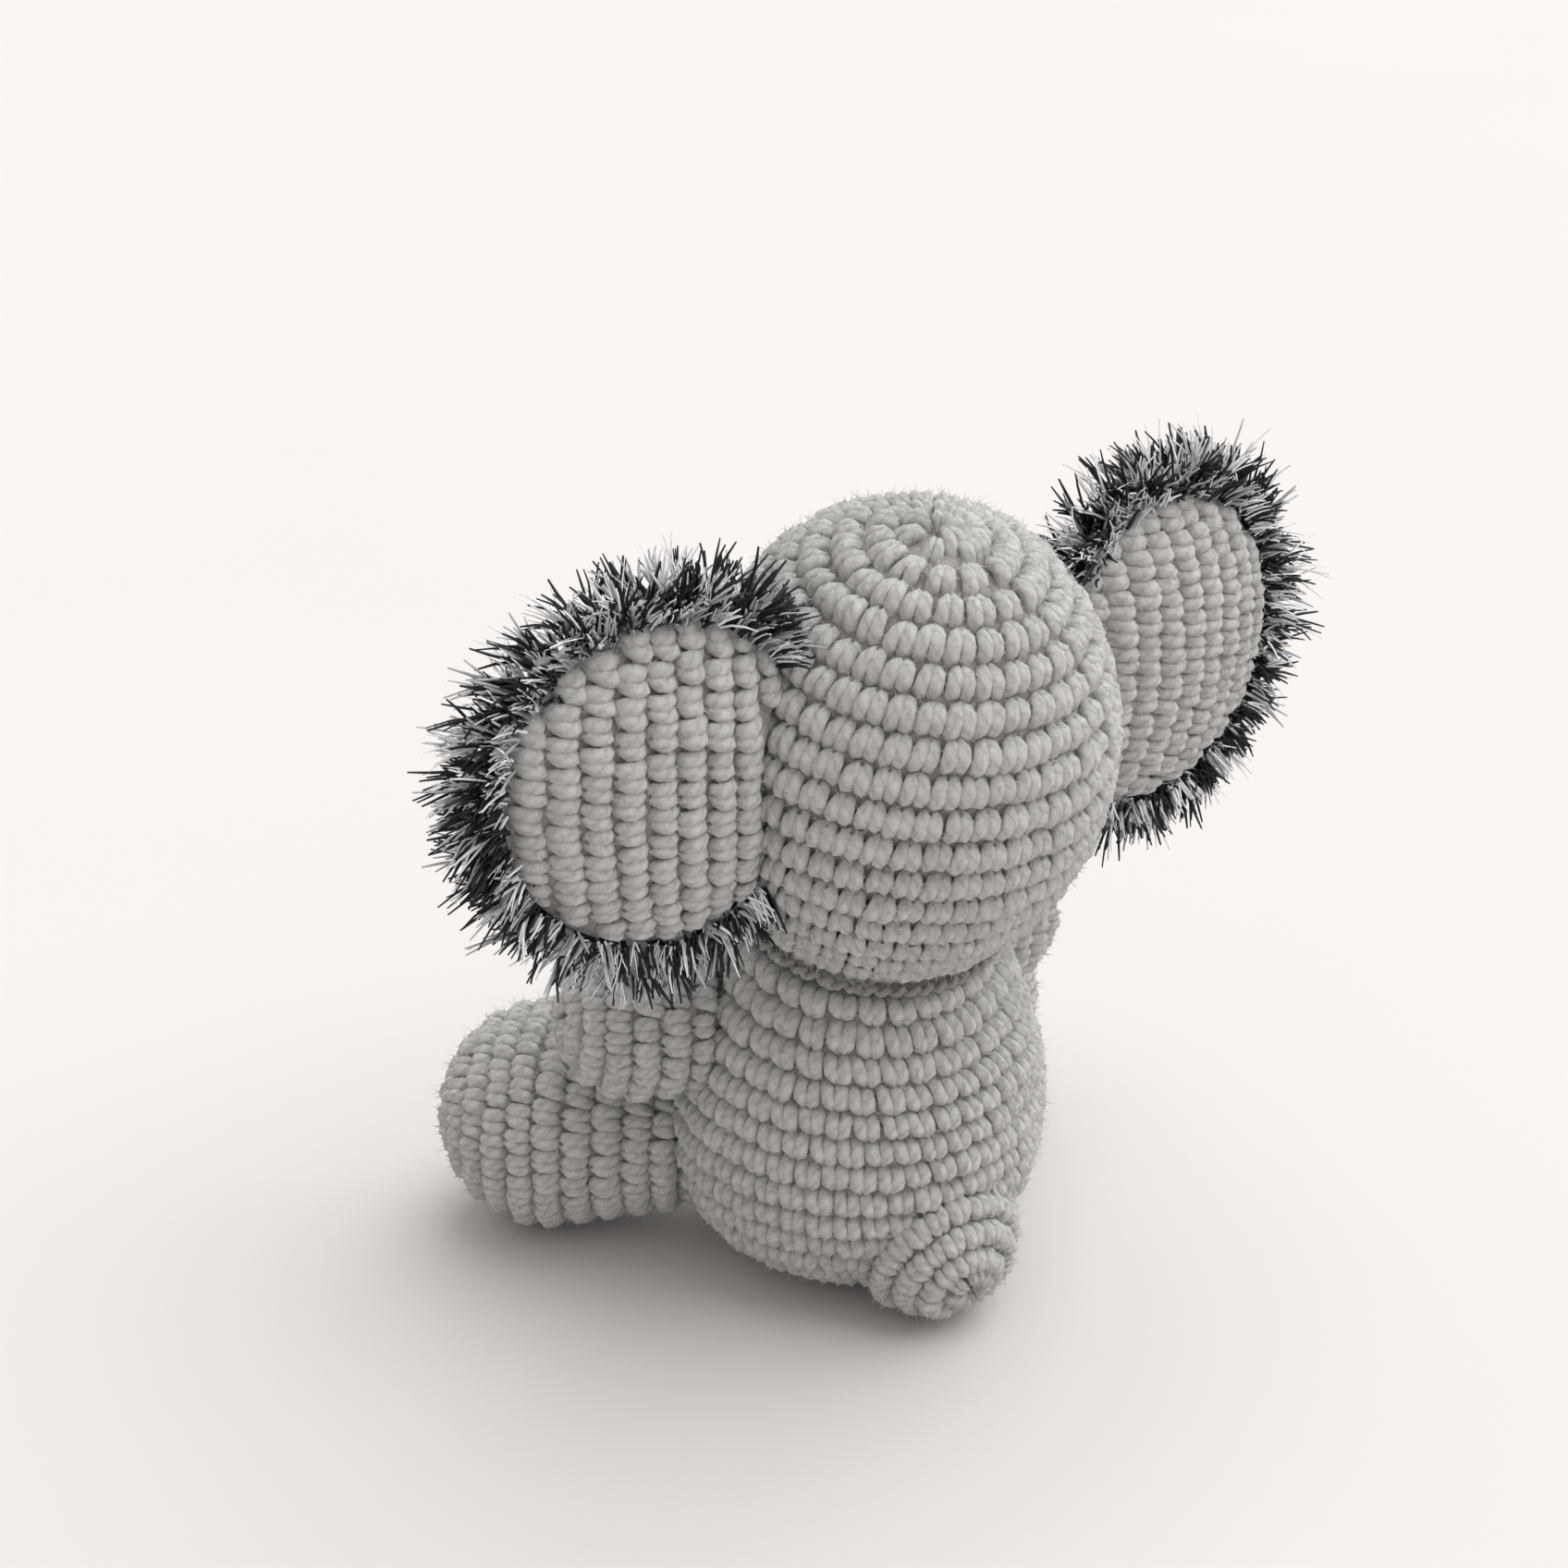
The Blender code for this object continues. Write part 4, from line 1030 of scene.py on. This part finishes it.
def make_eye(side, label):
    """A safety eye: a polished dome with a thin rolled edge, on its shank."""
    look = eye_look(side)
    across = unit(np.cross(UP, look))
    along = np.cross(look, across)
    dome = np.linspace(0, math.pi / 2, 16)[:-1]
    outline = [(0.01, -SHANK_LENGTH), (SHANK_RADIUS, -SHANK_LENGTH), (SHANK_RADIUS, 0.0),
               (EYE_RADIUS - EYE_EDGE, 0.0), (EYE_RADIUS - 0.1, 0.12), (EYE_RADIUS, EYE_EDGE)]
    outline += [(EYE_RADIUS * math.cos(t), EYE_EDGE + (EYE_DOME - EYE_EDGE) * math.sin(t)) for t in dome[1:]]
    outline.append((0.01, EYE_DOME))
    turn = 2 * math.pi * np.arange(40) / 40
    ring = np.cos(turn)[:, None] * across + np.sin(turn)[:, None] * along
    middle = eye_seat(side) + look * EYE_LIFT
    points = np.concatenate([middle + look * z + ring * r for r, z in outline])
    store = Store()
    store.add(points, tube_faces(len(outline), 40), np.zeros((len(points), 2)))
    settle(store.build(label + "_eye_dome", [EYE_BLACK]), "head", (label + "_eye",))


def paint_hard_pieces():
    for side in ("left", "right"):
        repaint(side + "_eye_washer", WASHER_WHITE)
        for part in ("arm", "leg"):
            repaint(side + "_" + part + "_stuffing", FILLING)
    for part in ("body", "head", "tail", "trunk"):
        repaint(part + "_stuffing", FILLING)


def repaint(node, material):
    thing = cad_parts[node]
    if not thing.material_slots:
        thing.data.materials.append(material)
    for place in thing.material_slots:
        place.material = material


# ---------------------------------------------------------------- floor, light and camera

CAMERA_AZIMUTH = math.radians(147.7)
CAMERA_ELEVATION = math.radians(26.37)
CAMERA_PLACE = Vector((0.31003, 0.46729, 0.38582))
CAMERA_LENS = 70.0
SENSOR = 36.0

FLOOR_SIZE = 30.0
FLOOR_DROP = 0.0002       # below the toy, so that the two never share a plane
FLOOR_COLOURS = ((0.3, (0.600, 0.588, 0.580)), (0.7, (0.611, 0.599, 0.591)))


def make_stage():
    bpy.ops.mesh.primitive_plane_add(size=FLOOR_SIZE, location=(0, 0, -FLOOR_DROP))
    floor = bpy.context.active_object
    floor.name = "pale_floor"
    material, nodes, links, shader = nodes_of("pale_floor_look")
    place = nodes.new("ShaderNodeTexCoord").outputs["Object"]
    cloud = noise_node(nodes, links, place, 3.0, 2.0)
    links.new(ramp_node(nodes, links, cloud, FLOOR_COLOURS), shader.inputs["Base Color"])
    shader.inputs["Roughness"].default_value = 0.85
    floor.data.materials.append(material)


LIGHT_FROM = unit((-0.66, 0.10, 1.12))
LIGHT_POWER = 2.5
LIGHT_SPREAD = math.radians(80)
ROOM_SOFT = (0.30, 1.06)  # strength of the room's light on its dim side and on its window side
ROOM_BRIGHT_SIDE = unit((-0.72, 0.0, 0.85))


def make_light():
    """A wide soft light from the window side, in a room that is dimmer on the other side."""
    sun = bpy.data.lights.new("window", "SUN")
    sun.energy = LIGHT_POWER
    sun.angle = LIGHT_SPREAD
    sun.color = (0.99, 1.0, 0.985)
    thing = bpy.data.objects.new("window", sun)
    thing.rotation_euler = Vector(LIGHT_FROM).to_track_quat("Z", "Y").to_euler()
    bpy.context.scene.collection.objects.link(thing)
    world = bpy.data.worlds.new("soft_room")
    bpy.context.scene.world = world
    world.use_nodes = True
    nodes, links = world.node_tree.nodes, world.node_tree.links
    way = nodes.new("ShaderNodeTexCoord").outputs["Generated"]
    facing = nodes.new("ShaderNodeVectorMath")
    facing.operation = "DOT_PRODUCT"
    links.new(way, facing.inputs[0])
    facing.inputs[1].default_value = ROOM_BRIGHT_SIDE
    soft = nodes.new("ShaderNodeMapRange")
    soft.inputs["From Min"].default_value = -1.0
    soft.inputs["To Min"].default_value, soft.inputs["To Max"].default_value = ROOM_SOFT
    links.new(facing.outputs["Value"], soft.inputs["Value"])
    links.new(soft.outputs["Result"], nodes["Background"].inputs["Strength"])
    nodes["Background"].inputs["Color"].default_value = (1.0, 0.965, 0.945, 1.0)


def set_view():
    view = bpy.context.scene.view_settings
    view.view_transform = "Standard"
    view.look = "None"


def make_camera():
    camera = bpy.data.cameras.new("camera")
    camera.lens = CAMERA_LENS
    camera.sensor_width = SENSOR
    camera.clip_start = 0.01
    thing = bpy.data.objects.new("camera", camera)
    back = Vector((math.sin(CAMERA_AZIMUTH) * math.cos(CAMERA_ELEVATION),
                   -math.cos(CAMERA_AZIMUTH) * math.cos(CAMERA_ELEVATION), math.sin(CAMERA_ELEVATION)))
    thing.location = CAMERA_PLACE
    thing.rotation_euler = back.to_track_quat("Z", "Y").to_euler()
    bpy.context.scene.collection.objects.link(thing)
    bpy.context.scene.camera = thing


make_camera()
set_view()
make_stage()
make_light()
make_head()
make_body()
for SIDE, LABEL in ((1, "left"), (-1, "right")):
    make_limb(LABEL + "_arm_crochet", SIDE, ARM, LABEL + "_arm", LABEL + "_arm_shell")
    make_limb(LABEL + "_leg_crochet", SIDE, LEG, LABEL + "_leg", LABEL + "_leg_shell")
    make_ear(SIDE)
    make_eye(SIDE, LABEL)
make_tail()
make_trunk()
make_neck_seam()
paint_hard_pieces()
